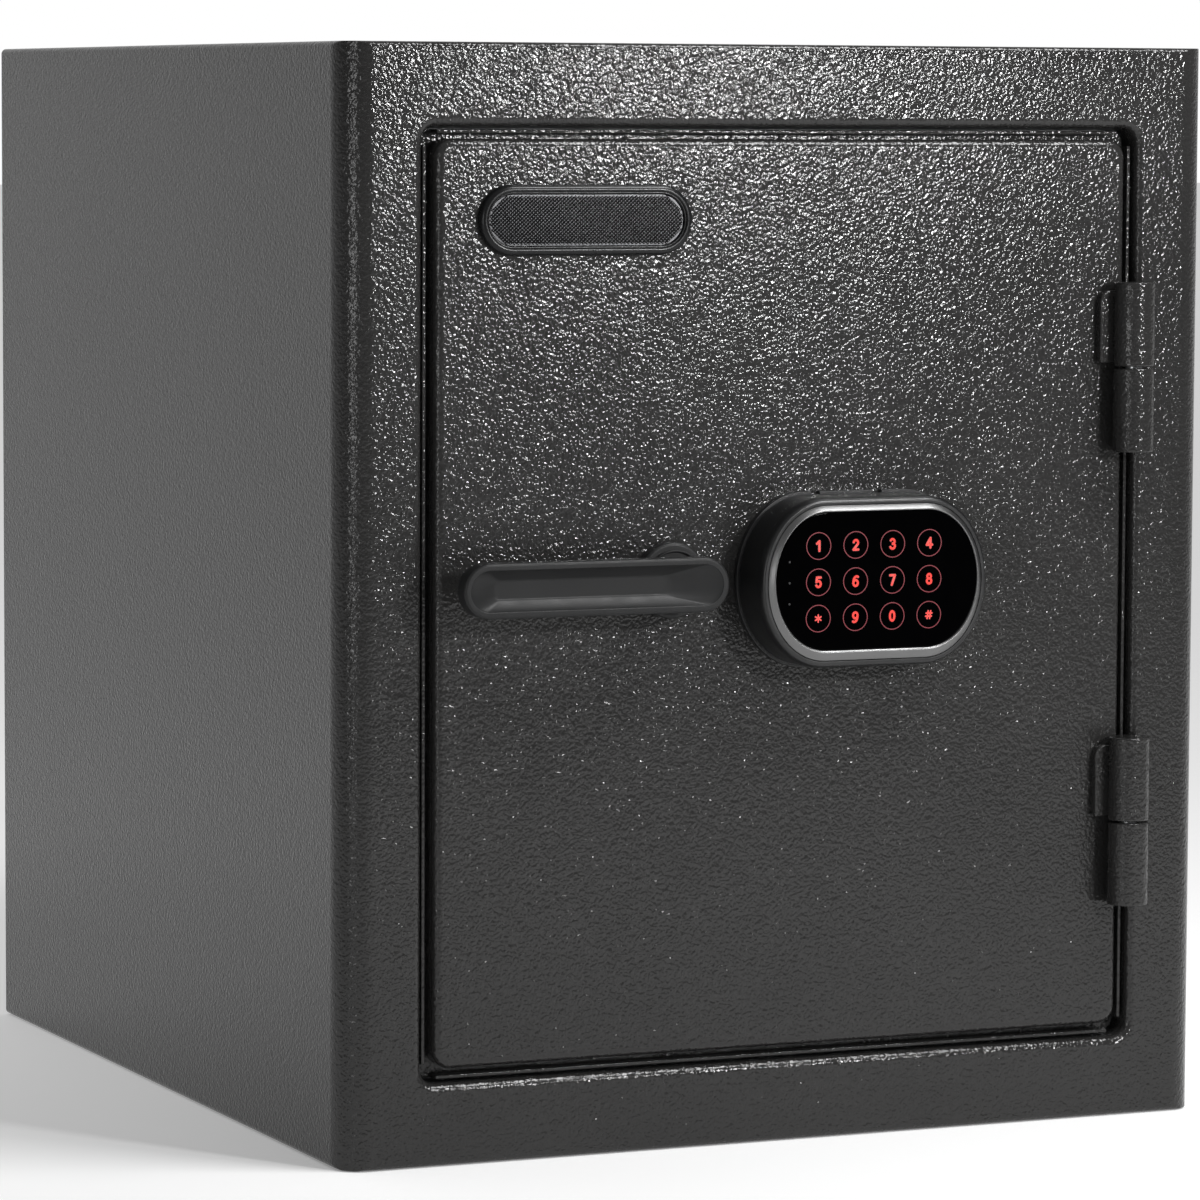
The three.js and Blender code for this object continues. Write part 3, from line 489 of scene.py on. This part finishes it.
def door_skin():
    """The door's front pan with its rolled edge and the open back of the folded sheet."""
    door = size("door_front_pan")
    centre = (middle("door_front_pan").x, middle("door_front_pan").z)

    def level(inset, depth):
        return ring_at(outline(door.x - 2 * inset, door.z - 2 * inset, DOOR_CORNER - inset), depth, centre)

    rear = depth_of(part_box("door_front_pan")[1].y)
    rings = [level(inset, depth) for inset, depth in quarter(ROLL_R, 8)]
    rings += [level(0, rear - 0.4 * MM), level(0.4 * MM, rear)]
    inner = outline(door.x - 2 * SHEET, door.z - 2 * SHEET, 6 * MM)
    rings += [ring_at(inner, rear, centre), ring_at(inner, rear - 6 * MM, centre)]
    return loft("door_front_skin", rings, PAINT, "door", ["door_front_pan"], (True, False), 28)


def door_back_skin():
    """The wider pan behind: a plate whose four edges are folded forwards, open at the corners."""
    lo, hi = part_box("door_back_pan")
    plate_front = FRONT_Y + 12 * MM
    corner, flange, bend, edge = 6 * MM, 1.8 * MM, 1.2 * MM, 0.5 * MM
    centre = ((lo.x + hi.x) / 2, (lo.z + hi.z) / 2)

    def level(inset, y):
        points = outline(hi.x - lo.x - 2 * inset, hi.z - lo.z - 2 * inset, corner - inset)
        return ring_at(points, depth_of(y), centre)

    plate = [level(inset, hi.y - depth) for inset, depth in quarter(bend, 4)]
    plate += [level(0, plate_front + 0.3 * MM), level(0.3 * MM, plate_front)]
    notch = 7 * MM
    front, back = lo.y, plate_front + 1 * MM
    strips = [
        ((lo.x + notch, front, hi.z - flange), (hi.x - notch, back, hi.z)),
        ((lo.x + notch, front, lo.z), (hi.x - notch, back, lo.z + flange)),
        ((lo.x, front, lo.z + notch), (lo.x + flange, back, hi.z - notch)),
        ((hi.x - flange, front, lo.z + notch), (hi.x, back, hi.z - notch)),
    ]
    groups = [plate] + [soft_block(Vector(a), Vector(b), edge) for a, b in strips]
    return lofts("door_back_skin", groups, PAINT, "door", ["door_back_pan"], 35)


cabinet_skin()
door_skin()
door_back_skin()
for level in ("upper", "lower"):
    knuckle(f"hinge_{level}_door_barrel", f"hinge_{level}_door_knuckle", "door", -1)
    knuckle(f"hinge_{level}_cabinet_barrel", f"hinge_{level}_cabinet_knuckle", "cabinet", 1)

# ---------------------------------------------------------------- lever handle

LEVER_LO, LEVER_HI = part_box("handle_lever")
AXIS = (middle("handle_collar").x, middle("handle_collar").z)


def lever_piece():
    """The lever: a rounded bar whose front is scooped out to a flat strip between sloping sides."""
    w, h = LEVER_HI.x - LEVER_LO.x, LEVER_HI.z - LEVER_LO.z
    centre = ((LEVER_LO.x + LEVER_HI.x) / 2, AXIS[1])
    front, back = depth_of(LEVER_LO.y), depth_of(LEVER_HI.y)
    steps = 16

    def stadium(inset):
        return outline(w - 2 * inset, h - 2 * inset, h / 2 - inset, steps=steps)

    back_flat, back_round, edge, inner_edge = 7 * MM, 3 * MM, 1.3 * MM, 0.4 * MM
    rings = [ring_at(stadium(back_flat), back, centre)]
    for inset, depth in quarter(back_round, 6):
        rings.append(ring_at(stadium(inset), back - depth, centre))
    for inset, depth in reversed(quarter(edge, 6)):
        rings.append(ring_at(stadium(inset), front + depth, centre))
    lip = 3.2 * MM
    for turn in (0, 20, 45, 70):
        a = math.radians(turn)
        inset = lip - inner_edge * (1 - math.sin(a))
        rings.append(ring_at(stadium(inset), front + inner_edge * (1 - math.cos(a)), centre))
    floor_w, floor_h, floor_corner = 79 * MM, 7.4 * MM, 1.2 * MM
    left_dish, scoop_depth = 15 * MM, 5.2 * MM
    floor_shift = -(w / 2 - lip) + left_dish + floor_w / 2
    floor = [(x + floor_shift, z) for x, z in outline(floor_w, floor_h, floor_corner, steps=steps)]
    ways_in_and_down = ((0.08, 0.12), (0.3, 0.38), (0.55, 0.64), (0.8, 0.86), (1.0, 1.0))
    for way_in, way_down in ways_in_and_down:
        depth = front + inner_edge + (scoop_depth - inner_edge) * way_down
        rings.append(ring_at(between(stadium(lip), floor, way_in), depth, centre))
    return loft("lever_grip", rings, LEVER, "handle", ["handle_lever"], sharp=32)


def lever_neck():
    """The neck that joins the lever to the rosette: a cup with a thin rim round a narrower stem."""
    front = depth_of(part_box("handle_collar")[0].y)
    back = depth_of(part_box("handle_collar")[1].y)
    r = size("handle_collar").x / 2
    cup_front = back - 1.7 * MM
    bore_r, stem_r, foot_r = 6.4 * MM, 9 * MM, 10 * MM
    cup_outside = [(0.4, back), (0, back - 0.3 * MM), (0, cup_front + 0.5 * MM)]
    cup_crest = [(0.15, cup_front + 0.15 * MM), (0.5, cup_front), (0.85, cup_front + 0.15 * MM)]
    cup_inside = [(1.0, cup_front + 0.5 * MM), (1.3, back - 0.4 * MM)]
    cup = [(r - inset * MM, depth) for inset, depth in cup_outside + cup_crest + cup_inside]
    stem = [(stem_r + 0.6 * MM, back - 0.4 * MM), (stem_r + 0.2 * MM, back - 1.2 * MM)]
    foot = [(stem_r, front + 2 * MM), (foot_r, front + 0.3 * MM), (foot_r, front)]
    profile = [(bore_r, back)] + cup + stem + foot + [(bore_r, front)]
    return loft("lever_neck", lathe_y(profile, AXIS), LEVER, "handle", ["handle_collar"],
                (False, False), 40)


def rosette():
    lo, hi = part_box("handle_rosette")
    r, bore_r = (hi.x - lo.x) / 2, 7.2 * MM
    front, back = depth_of(lo.y), depth_of(hi.y)
    edge = quarter(1.6 * MM, 6)
    profile = [(bore_r, back), (r - 0.2 * MM, back), (r, back - 0.3 * MM)]
    profile += [(r - inset, front + depth) for inset, depth in reversed(edge)]
    profile += [(bore_r, front)]
    return loft("lever_rosette", lathe_y(profile, AXIS), LEVER, "door", ["handle_rosette"],
                (False, False), 35)


lever_piece()
lever_neck()
rosette()

# ---------------------------------------------------------------- keypad

PAD = (middle("keypad_housing").x, middle("keypad_housing").z)
PAD_W, PAD_H = size("keypad_housing").x, size("keypad_housing").z
PAD_END = 32 * MM
PAD_STEPS = 18
GLASS = (middle("keypad_glass").x, middle("keypad_glass").z)
GLASS_W, GLASS_H = size("keypad_glass").x, size("keypad_glass").z
GLASS_END = 25.1 * MM
END_FLAT = 0.01 * MM


def pad_outline(inset):
    """The keypad's outline, flat above and below with elliptical ends, moved inwards."""
    w, h = PAD_W - 2 * inset, PAD_H - 2 * inset
    return outline(w, h, PAD_END - inset, h / 2 - END_FLAT, PAD_STEPS)


def glass_outline(grow):
    """The glass's own outline moved outwards, about the keypad's centre."""
    w, h = GLASS_W + 2 * grow, GLASS_H + 2 * grow
    points = outline(w, h, GLASS_END + grow, h / 2 - END_FLAT, PAD_STEPS)
    return [(x + GLASS[0] - PAD[0], z + GLASS[1] - PAD[1]) for x, z in points]


def keypad_base():
    """The thin plate under the housing, with two clip notches in its top edge."""
    lo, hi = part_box("keypad_base")
    grow = (PAD_W - (hi.x - lo.x)) / 2
    front, back = depth_of(lo.y), depth_of(hi.y)
    notch_w, notch_depth = 4.4 * MM, 1.38 * MM
    notches = (-19.3 * MM, 12.2 * MM)

    def notched(inset):
        points = pad_outline(grow + inset)
        top = (hi.z - lo.z) / 2 - inset
        edge = []
        for x in sorted(notches, reverse=True):
            edge += [(x + notch_w / 2, top), (x + notch_w / 2, top - notch_depth),
                     (x - notch_w / 2, top - notch_depth), (x - notch_w / 2, top)]
        split = PAD_STEPS + 1
        return points[:split] + edge + points[split:]

    levels = [(0.5 * MM, front), (0.15 * MM, front + 0.15 * MM), (0, front + 0.5 * MM), (0, back)]
    rings = [ring_at(notched(inset), depth, PAD) for inset, depth in levels]
    return loft("keypad_base_plate", rings, BLACK, "door", ["keypad_base"], sharp=40)


def keypad_housing():
    """The housing: upright sides, an elliptical shoulder and a well that holds the bezel."""
    lo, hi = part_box("keypad_housing")
    front, back = depth_of(lo.y), depth_of(hi.y)
    shoulder, shoulder_reach = 5.2 * MM, 0.42
    well = depth_of(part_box("keypad_bezel")[1].y)
    bezel_inset = (PAD_W - size("keypad_bezel").x) / 2
    rings = [ring_at(pad_outline(0.4 * MM), back, PAD), ring_at(pad_outline(0), back - 0.4 * MM, PAD)]
    for inset, depth in reversed(quarter(shoulder, 8)):
        rings.append(ring_at(pad_outline(inset * shoulder_reach), front + depth, PAD))
    rings.append(ring_at(pad_outline(bezel_inset - 0.25 * MM), front + 0.1 * MM, PAD))
    rings.append(ring_at(pad_outline(bezel_inset - 0.1 * MM), front + 0.5 * MM, PAD))
    rings.append(ring_at(pad_outline(bezel_inset), well, PAD))
    return loft("keypad_body", rings, HOUSING, "door", ["keypad_housing"], (True, True), 40)


def keypad_bezel():
    """The raised ring round the glass: a broad outer slope, a crest, and an edge that dips to the glass."""
    lo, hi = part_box("keypad_bezel")
    front, back = depth_of(lo.y), depth_of(hi.y)
    outer = pad_outline((PAD_W - (hi.x - lo.x)) / 2)
    inner = glass_outline(0.25 * MM)
    outer_slope = [(0.0, 2.3), (0.05, 1.95), (0.35, 1.05), (0.65, 0.22)]
    crest = [(0.76, 0.0), (0.84, 0.03)]
    dip = [(0.93, 0.3), (1.0, 0.75)]
    levels = [(share, front + drop * MM) for share, drop in outer_slope + crest + dip]
    levels = [(0.0, back)] + levels + [(1.0, back)]
    rings = [ring_at(between(outer, inner, share), depth, PAD) for share, depth in levels]
    return loft("keypad_rim", rings, BEZEL, "door", ["keypad_bezel"], (False, False), 50)


def keypad_glass():
    lo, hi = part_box("keypad_glass")
    front, back = depth_of(lo.y), depth_of(hi.y)
    levels = [(0.4 * MM, front), (0.1 * MM, front + 0.1 * MM), (0, front + 0.4 * MM), (0, back)]
    rings = [ring_at(glass_outline(-inset), depth, PAD) for inset, depth in levels]
    return loft("keypad_touch_glass", rings, TOUCH_GLASS, "door", ["keypad_glass"], sharp=40)


def arc(cx, cz, rx, rz, start, end, steps=14):
    """Points of an elliptical arc, with angles in degrees anticlockwise from the right."""
    angles = [math.radians(start + (end - start) * k / steps) for k in range(steps + 1)]
    return [(cx + rx * math.cos(a), cz + rz * math.sin(a)) for a in angles]


def spokes(count, reach):
    """Strokes from the origin outwards, the first one upwards."""
    angles = [math.radians(90 + 360 * k / count) for k in range(count)]
    return [[(0, 0), (reach * math.cos(a), reach * math.sin(a))] for a in angles]


# Centre lines of each figure, as strokes in a box one unit high, centred on the origin.
FIGURE_STROKES = {
    "0": [arc(0, 0, 0.21, 0.4, 0, 360, 28)],
    "1": [[(-0.17, 0.2), (0.06, 0.4), (0.06, -0.41)]],
    "2": [arc(0.0, 0.18, 0.21, 0.23, 165, -25) + [(-0.22, -0.4), (0.23, -0.4)]],
    "3": [arc(-0.02, 0.2, 0.19, 0.2, 150, -85), arc(-0.02, -0.19, 0.22, 0.22, 85, -155)],
    "4": [[(0.1, -0.41), (0.1, 0.4), (-0.25, -0.17), (0.26, -0.17)]],
    "5": [[(0.2, 0.4), (-0.15, 0.4), (-0.19, 0.02)] + arc(-0.01, -0.15, 0.22, 0.25, 130, -150)],
    "6": [arc(0, -0.16, 0.21, 0.25, 0, 360, 24), arc(0.1, -0.1, 0.31, 0.5, 68, 180)],
    "7": [[(-0.22, 0.4), (0.23, 0.4), (-0.06, -0.41)]],
    "8": [arc(0, 0.21, 0.17, 0.19, 0, 360, 24), arc(0, -0.19, 0.21, 0.22, 0, 360, 24)],
    "9": [arc(0, 0.16, 0.21, 0.25, 0, 360, 24), arc(-0.1, 0.1, 0.31, 0.5, 248, 360)],
    "*": spokes(6, 0.36),
    "#": [[(-0.16, -0.32), (-0.06, 0.32)], [(0.08, -0.32), (0.18, 0.32)],
          [(-0.24, 0.13), (0.29, 0.13)], [(-0.29, -0.13), (0.24, -0.13)]],
}
FIGURE_H = 5.3 * MM
STAR_SHARE = 0.82

# The width of a stroke and how far its glow reaches, as shares of the figure's height.
STROKE_W = 0.185
GLOW_W = 0.09
THIN_STROKES = {"*": 0.75, "#": 0.7}


def stroke_faces(points, width, verts, faces, place):
    """A flat ribbon along the points, with a round spot at every point so that ends and bends are round."""
    half = width / 2
    spot_steps = 14
    for (ax, az), (bx, bz) in zip(points, points[1:]):
        length = math.hypot(bx - ax, bz - az)
        nx, nz = -(bz - az) / length * half, (bx - ax) / length * half
        base = len(verts)
        verts += [place(ax + nx, az + nz), place(bx + nx, bz + nz)]
        verts += [place(bx - nx, bz - nz), place(ax - nx, az - nz)]
        faces.append((base, base + 1, base + 2, base + 3))
    for px, pz in points:
        base = len(verts)
        verts += [place(px + x, pz + z) for x, z in circle(half, spot_steps)]
        faces.append(tuple(range(base, base + spot_steps)))


def printed(name, places, width, proud, material):
    """All the keypad's figures as one flat piece, a little proud of the glass."""
    verts, faces = [], []
    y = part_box("keypad_glass")[0].y - proud
    for key, x, z in places:
        height = FIGURE_H * (STAR_SHARE if key == "*" else 1.0)

        def place(u, v):
            return Vector((x + u * height, y, z + v * height))

        for stroke in FIGURE_STROKES[key]:
            stroke_width = width * THIN_STROKES.get(key, 1.0)
            stroke_faces(stroke, stroke_width, verts, faces, place)
    return flat_piece(name, verts, faces, material)


def flat_piece(name, verts, faces, material):
    """A flat printed piece on the keypad's glass."""
    mesh = bpy.data.meshes.new(name)
    mesh.from_pydata([tuple(v) for v in verts], [], faces)
    obj = bpy.data.objects.new(name, mesh)
    bpy.context.scene.collection.objects.link(obj)
    return finish_piece(obj, material, "door")


def flat_ring(verts, faces, x, z, y, outer, inner, steps=48):
    """Adds a flat ring about (x, z) to the vertices and faces."""
    base = len(verts)
    for r in (outer, inner):
        verts += [Vector((x + a, y, z + b)) for a, b in circle(r, steps)]
    for k in range(steps):
        after = (k + 1) % steps
        faces.append((base + k, base + after, base + steps + after, base + steps + k))


KEYS = ["1234", "5678", "*90#"]
KEY_PITCH_X, KEY_PITCH_Z = 18.63 * MM, 16.4 * MM
KEYS_CENTRE = (30.1 * MM, 258.7 * MM)
DOT_X, DOT_PITCH = -12.3 * MM, 9.5 * MM
RING_OUTER_R, RING_INNER_R = 6.25 * MM, 5.85 * MM
DOT_OUTER_R, DOT_INNER_R = 0.5 * MM, 0.1 * MM


def keypad_figures():
    """The back-lit figures with their glow, their rings and three faint indicator dots."""
    places = []
    for row, keys in enumerate(KEYS):
        for column, key in enumerate(keys):
            x = KEYS_CENTRE[0] + (column - 1.5) * KEY_PITCH_X
            z = KEYS_CENTRE[1] + (1 - row) * KEY_PITCH_Z
            places.append((key, x, z))
    printed("keypad_figure_glow", places, STROKE_W + GLOW_W, 0.02 * MM, HALO)
    printed("keypad_figures", places, STROKE_W, 0.05 * MM, FIGURES)
    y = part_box("keypad_glass")[0].y - 0.03 * MM
    verts, faces = [], []
    for _, x, z in places:
        flat_ring(verts, faces, x, z, y, RING_OUTER_R, RING_INNER_R)
    flat_piece("keypad_key_rings", verts, faces, KEY_RINGS)
    verts, faces = [], []
    for row in range(3):
        z = KEYS_CENTRE[1] + (1 - row) * DOT_PITCH
        flat_ring(verts, faces, DOT_X, z, y, DOT_OUTER_R, DOT_INNER_R, 16)
    flat_piece("keypad_indicator_dots", verts, faces, DOTS)


keypad_base()
keypad_housing()
keypad_bezel()
keypad_glass()
keypad_figures()

# ---------------------------------------------------------------- badge

BADGE = (middle("badge_bezel").x, middle("badge_bezel").z)


def badge_outline(inset):
    lo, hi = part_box("badge_bezel")
    w, h = hi.x - lo.x, hi.z - lo.z
    return outline(w - 2 * inset, h - 2 * inset, h / 2 - inset, steps=14)


def badge_rim():
    """A domed oval rim that steps down to a thin inner ridge."""
    lo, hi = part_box("badge_bezel")
    front, back = depth_of(lo.y), depth_of(hi.y)
    dome = [(0, 2.4), (0.25, 1.4), (0.8, 0.6), (1.6, 0.15), (2.4, 0), (3.0, 0.2)]
    groove = [(3.15, 0.75), (3.35, 0.8)]
    ridge = [(3.5, 0.5), (3.8, 0.45), (4.0, 0.6), (4.2, 1.3)]
    levels = [(inset * MM, front + drop * MM) for inset, drop in dome + groove + ridge]
    levels = [(0, back)] + levels + [(4.2 * MM, back)]
    rings = [ring_at(badge_outline(inset), depth, BADGE) for inset, depth in levels]
    return loft("badge_rim", rings, BADGE_RIM, "door", ["badge_bezel"], (False, False), 50)


def badge_knurl():
    """The recessed plate, covered with rows of small four-sided points set in a diamond pattern."""
    lo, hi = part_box("badge_plate")
    w, h = hi.x - lo.x, hi.z - lo.z
    pitch_x, pitch_z, tall, top = 1.85 * MM, 1.7 * MM, 0.45 * MM, 0.17
    edge_gap = 0.5 * MM
    base_y = lo.y + tall
    plate_outline = outline(w, h, h / 2, steps=14)
    plate = [ring_at(plate_outline, depth_of(y), BADGE) for y in (base_y, hi.y)]
    faces = loft_faces(plate, True, True)
    verts = [v for ring in plate for v in ring]
    rows = int(h / (pitch_z / 2)) + 2
    columns = int(w / pitch_x) + 2
    for row in range(-rows // 2, rows // 2 + 1):
        for column in range(-columns // 2, columns // 2 + 1):
            x = (column + (row % 2) / 2) * pitch_x
            z = row * pitch_z / 2
            past = max(abs(x) - (w - h) / 2, 0)
            if math.hypot(past, z) > h / 2 - edge_gap:
                continue
            start = len(verts)
            for reach, y in ((0.5, base_y), (top, lo.y)):
                for side_x, side_z in ((1, 0), (0, 1), (-1, 0), (0, -1)):
                    point_x = BADGE[0] + x + side_x * reach * pitch_x
                    point_z = BADGE[1] + z + side_z * reach * pitch_z
                    verts.append(Vector((point_x, y, point_z)))
            for k in range(4):
                after = (k + 1) % 4
                faces.append((start + k, start + after, start + 4 + after, start + 4 + k))
            faces.append((start + 4, start + 5, start + 6, start + 7))
    return make_piece("badge_knurled_plate", verts, faces, KNURL, "door", ["badge_plate"], 20)


badge_rim()
badge_knurl()

# ---------------------------------------------------------------- inside of the door


def cover_screws():
    """Round-headed screws with a driver recess, round the edge of the door's inner cover."""
    lo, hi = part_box("door_inner_cover")
    margin = 9 * MM
    xs = (lo.x + margin, (lo.x + hi.x) / 2, hi.x - margin)
    zs = (lo.z + margin, (lo.z + hi.z) / 2, hi.z - margin)
    spots = [(x, z) for x in xs for z in zs if (x, z) != (xs[1], zs[1])]
    face = depth_of(hi.y)
    head = [(3.4, 0.02), (3.4, 0.5), (3.1, 1.1), (2.4, 1.5), (1.5, 1.7)]
    recess = [(1.4, 0.7), (0.05, 0.7)]
    profile = [(r * MM, face + proud * MM) for r, proud in [(0.05, 0.02)] + head + recess]
    groups = [lathe_y(profile, spot, 28) for spot in spots]
    lofts("cover_screws", groups, STEEL, "door", sharp=35)


def battery_latch():
    """A raised thumb bar and grip ribs on the battery lid."""
    lo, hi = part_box("battery_lid")
    centre_x = (lo.x + hi.x) / 2
    face = hi.y + 0.02 * MM
    thumb_bar = (26 * MM, hi.z - 9 * MM, 3 * MM, 1.6 * MM)
    ribs = [(16 * MM, hi.z - (16 + row * 3.2) * MM, 1.2 * MM, 0.7 * MM) for row in range(4)]
    groups = []
    for w, z, h, proud in [thumb_bar] + ribs:
        low = Vector((centre_x - w / 2, face, z - h / 2))
        high = Vector((centre_x + w / 2, face + proud, z + h / 2))
        groups.append(soft_block(low, high, 0.3 * MM))
    lofts("battery_lid_grip", groups, BLACK, "door", sharp=35)


cover_screws()
battery_latch()

# ---------------------------------------------------------------- CAD pieces that keep their own shape

CAD_MATERIALS = {
    "back_panel": PAINT, "cabinet_insulation": FILL, "door_frame": INNER, "door_seal": RUBBER,
    "inner_liner": INNER, "floor_mat": MAT, "shelf": INNER, "door_fire_board": FILL,
    "door_plug_casing": INNER, "door_plug_insulation": FILL, "door_inner_cover": INNER,
    "battery_box": BLACK, "battery_lid": BLACK, "lock_controller": BLACK, "bolt_carriage": STEEL,
    "solenoid_body": STEEL, "solenoid_plunger": CHROME, "handle_spindle": STEEL, "drive_crank": STEEL,
    "spindle_nut": STEEL, "keypad_board": BOARD, "keypad_cable": BLACK,
    "hinge_upper_pin": STEEL, "hinge_lower_pin": STEEL,
}
REPEATED_MATERIALS = {
    "shelf_clip": STEEL, "anchor_plug": RUBBER, "bolt_guide": STEEL,
    "fixed_bolt": CHROME, "live_bolt": CHROME, "battery_cell": JACKET,
}
for name in NODES:
    for prefix, material in REPEATED_MATERIALS.items():
        if name.startswith(prefix):
            CAD_MATERIALS[name] = material
for name, material in CAD_MATERIALS.items():
    for slot in NODES[name].material_slots:
        slot.material = material

# ---------------------------------------------------------------- studio

ROOM_LIGHT = 0.14
BACKDROP_LIGHT = 0.48
CEILING_LIGHT = 0.2
FLOOR_GLOW = 0.3
FLOOR_REACH = 30
FLOOR_DROP = 0.0005
LIGHT_TARGET = Vector((0, -0.24, 0.26))

# Each soft box: direction from the target, distance, width, height, power.
LIGHTS = {
    "Key": ((0.42, -1, 0.30), 1.32, 0.12, 0.12, 9.5),
    "Overhead": ((0.5, -0.5, 1.05), 1.5, 0.6, 0.42, 18),
    "Left": ((-0.84, -0.56, 0.12), 1.6, 0.25, 0.6, 2.8),
}

CAMERA_PLACE = (-1.1165, -2.5555, 0.4711)
CAMERA_YAW, CAMERA_PITCH, CAMERA_ROLL = math.radians(23.860), math.radians(4.963), math.radians(0.249)
SENSOR_WIDTH, LENS = 36, 169.93


def room():
    """A dim room, lighter behind the object and overhead, seen by the camera as plain white."""
    world = bpy.data.worlds.new("Studio")
    bpy.context.scene.world = world
    world.use_nodes = True
    tree = world.node_tree
    new, link = tree.nodes.new, tree.links.new

    def math_node(operation, a, b):
        node = new("ShaderNodeMath")
        node.operation = operation
        for socket, value in zip(node.inputs, (a, b)):
            if isinstance(value, (int, float)):
                socket.default_value = value
            else:
                link(value, socket)
        return node.outputs[0]

    direction = new("ShaderNodeSeparateXYZ")
    link(new("ShaderNodeTexCoord").outputs["Generated"], direction.inputs[0])
    behind = math_node("MULTIPLY", math_node("MAXIMUM", direction.outputs["Y"], 0.0), BACKDROP_LIGHT)
    overhead = math_node("MULTIPLY", math_node("MAXIMUM", direction.outputs["Z"], 0.0), CEILING_LIGHT)
    light = math_node("ADD", math_node("ADD", behind, overhead), ROOM_LIGHT)
    seen = new("ShaderNodeMixRGB")
    link(new("ShaderNodeLightPath").outputs["Is Camera Ray"], seen.inputs["Fac"])
    link(light, seen.inputs["Color1"])
    seen.inputs["Color2"].default_value = (1, 1, 1, 1)
    link(seen.outputs["Color"], tree.nodes["Background"].inputs["Color"])


def floor():
    """A wide pale floor that glows faintly beside and behind the object, as if lit from the back."""
    mesh = bpy.data.meshes.new("studio_floor")
    corners = [(x * FLOOR_REACH, y * FLOOR_REACH, 0) for x, y in ((-1, -1), (1, -1), (1, 1), (-1, 1))]
    mesh.from_pydata(corners, [], [(0, 1, 2, 3)])
    obj = bpy.data.objects.new("studio_floor", mesh)
    bpy.context.scene.collection.objects.link(obj)
    obj.location.z = -FLOOR_DROP
    n = Nodes("Pale floor")
    along = n.add("ShaderNodeSeparateXYZ", {0: n.place}).outputs["Y"]
    rearward = n.add("ShaderNodeMapRange", {"Value": along}, interpolation_type="SMOOTHSTEP")
    rearward.inputs["From Min"].default_value = -0.9
    rearward.inputs["From Max"].default_value = 0.3
    n.set(
        Base_Color=n.ramp(n.noise(0.7), [(0.3, 0.84), (0.7, 0.86)]),
        Roughness=0.9,
        Emission_Color=n.ramp(rearward.outputs["Result"], [(0.0, 0.0), (1.0, 1.0)]),
        Emission_Strength=FLOOR_GLOW,
    )
    mesh.materials.append(n.material)


def area_light(name, direction, distance, width, height, power):
    """A soft box in a direction from the target, facing it."""
    light = bpy.data.lights.new(name, "AREA")
    light.shape = "RECTANGLE"
    light.size, light.size_y = width, height
    light.energy = power
    obj = bpy.data.objects.new(name, light)
    obj.location = LIGHT_TARGET + Vector(direction).normalized() * distance
    obj.rotation_euler = (LIGHT_TARGET - obj.location).to_track_quat("-Z", "Y").to_euler()
    bpy.context.scene.collection.objects.link(obj)


def camera():
    data = bpy.data.cameras.new("Camera")
    data.sensor_width = SENSOR_WIDTH
    data.lens = LENS
    data.clip_start, data.clip_end = 0.05, 100
    cam = bpy.data.objects.new("Camera", data)
    bpy.context.scene.collection.objects.link(cam)
    turn = Matrix.Rotation(-CAMERA_YAW, 4, "Z")
    turn = turn @ Matrix.Rotation(math.pi / 2 - CAMERA_PITCH, 4, "X")
    turn = turn @ Matrix.Rotation(CAMERA_ROLL, 4, "Z")
    cam.matrix_world = Matrix.Translation(CAMERA_PLACE) @ turn
    bpy.context.scene.camera = cam


room()
floor()
for name, settings in LIGHTS.items():
    area_light(name, *settings)
camera()
bpy.context.scene.view_settings.view_transform = "Standard"
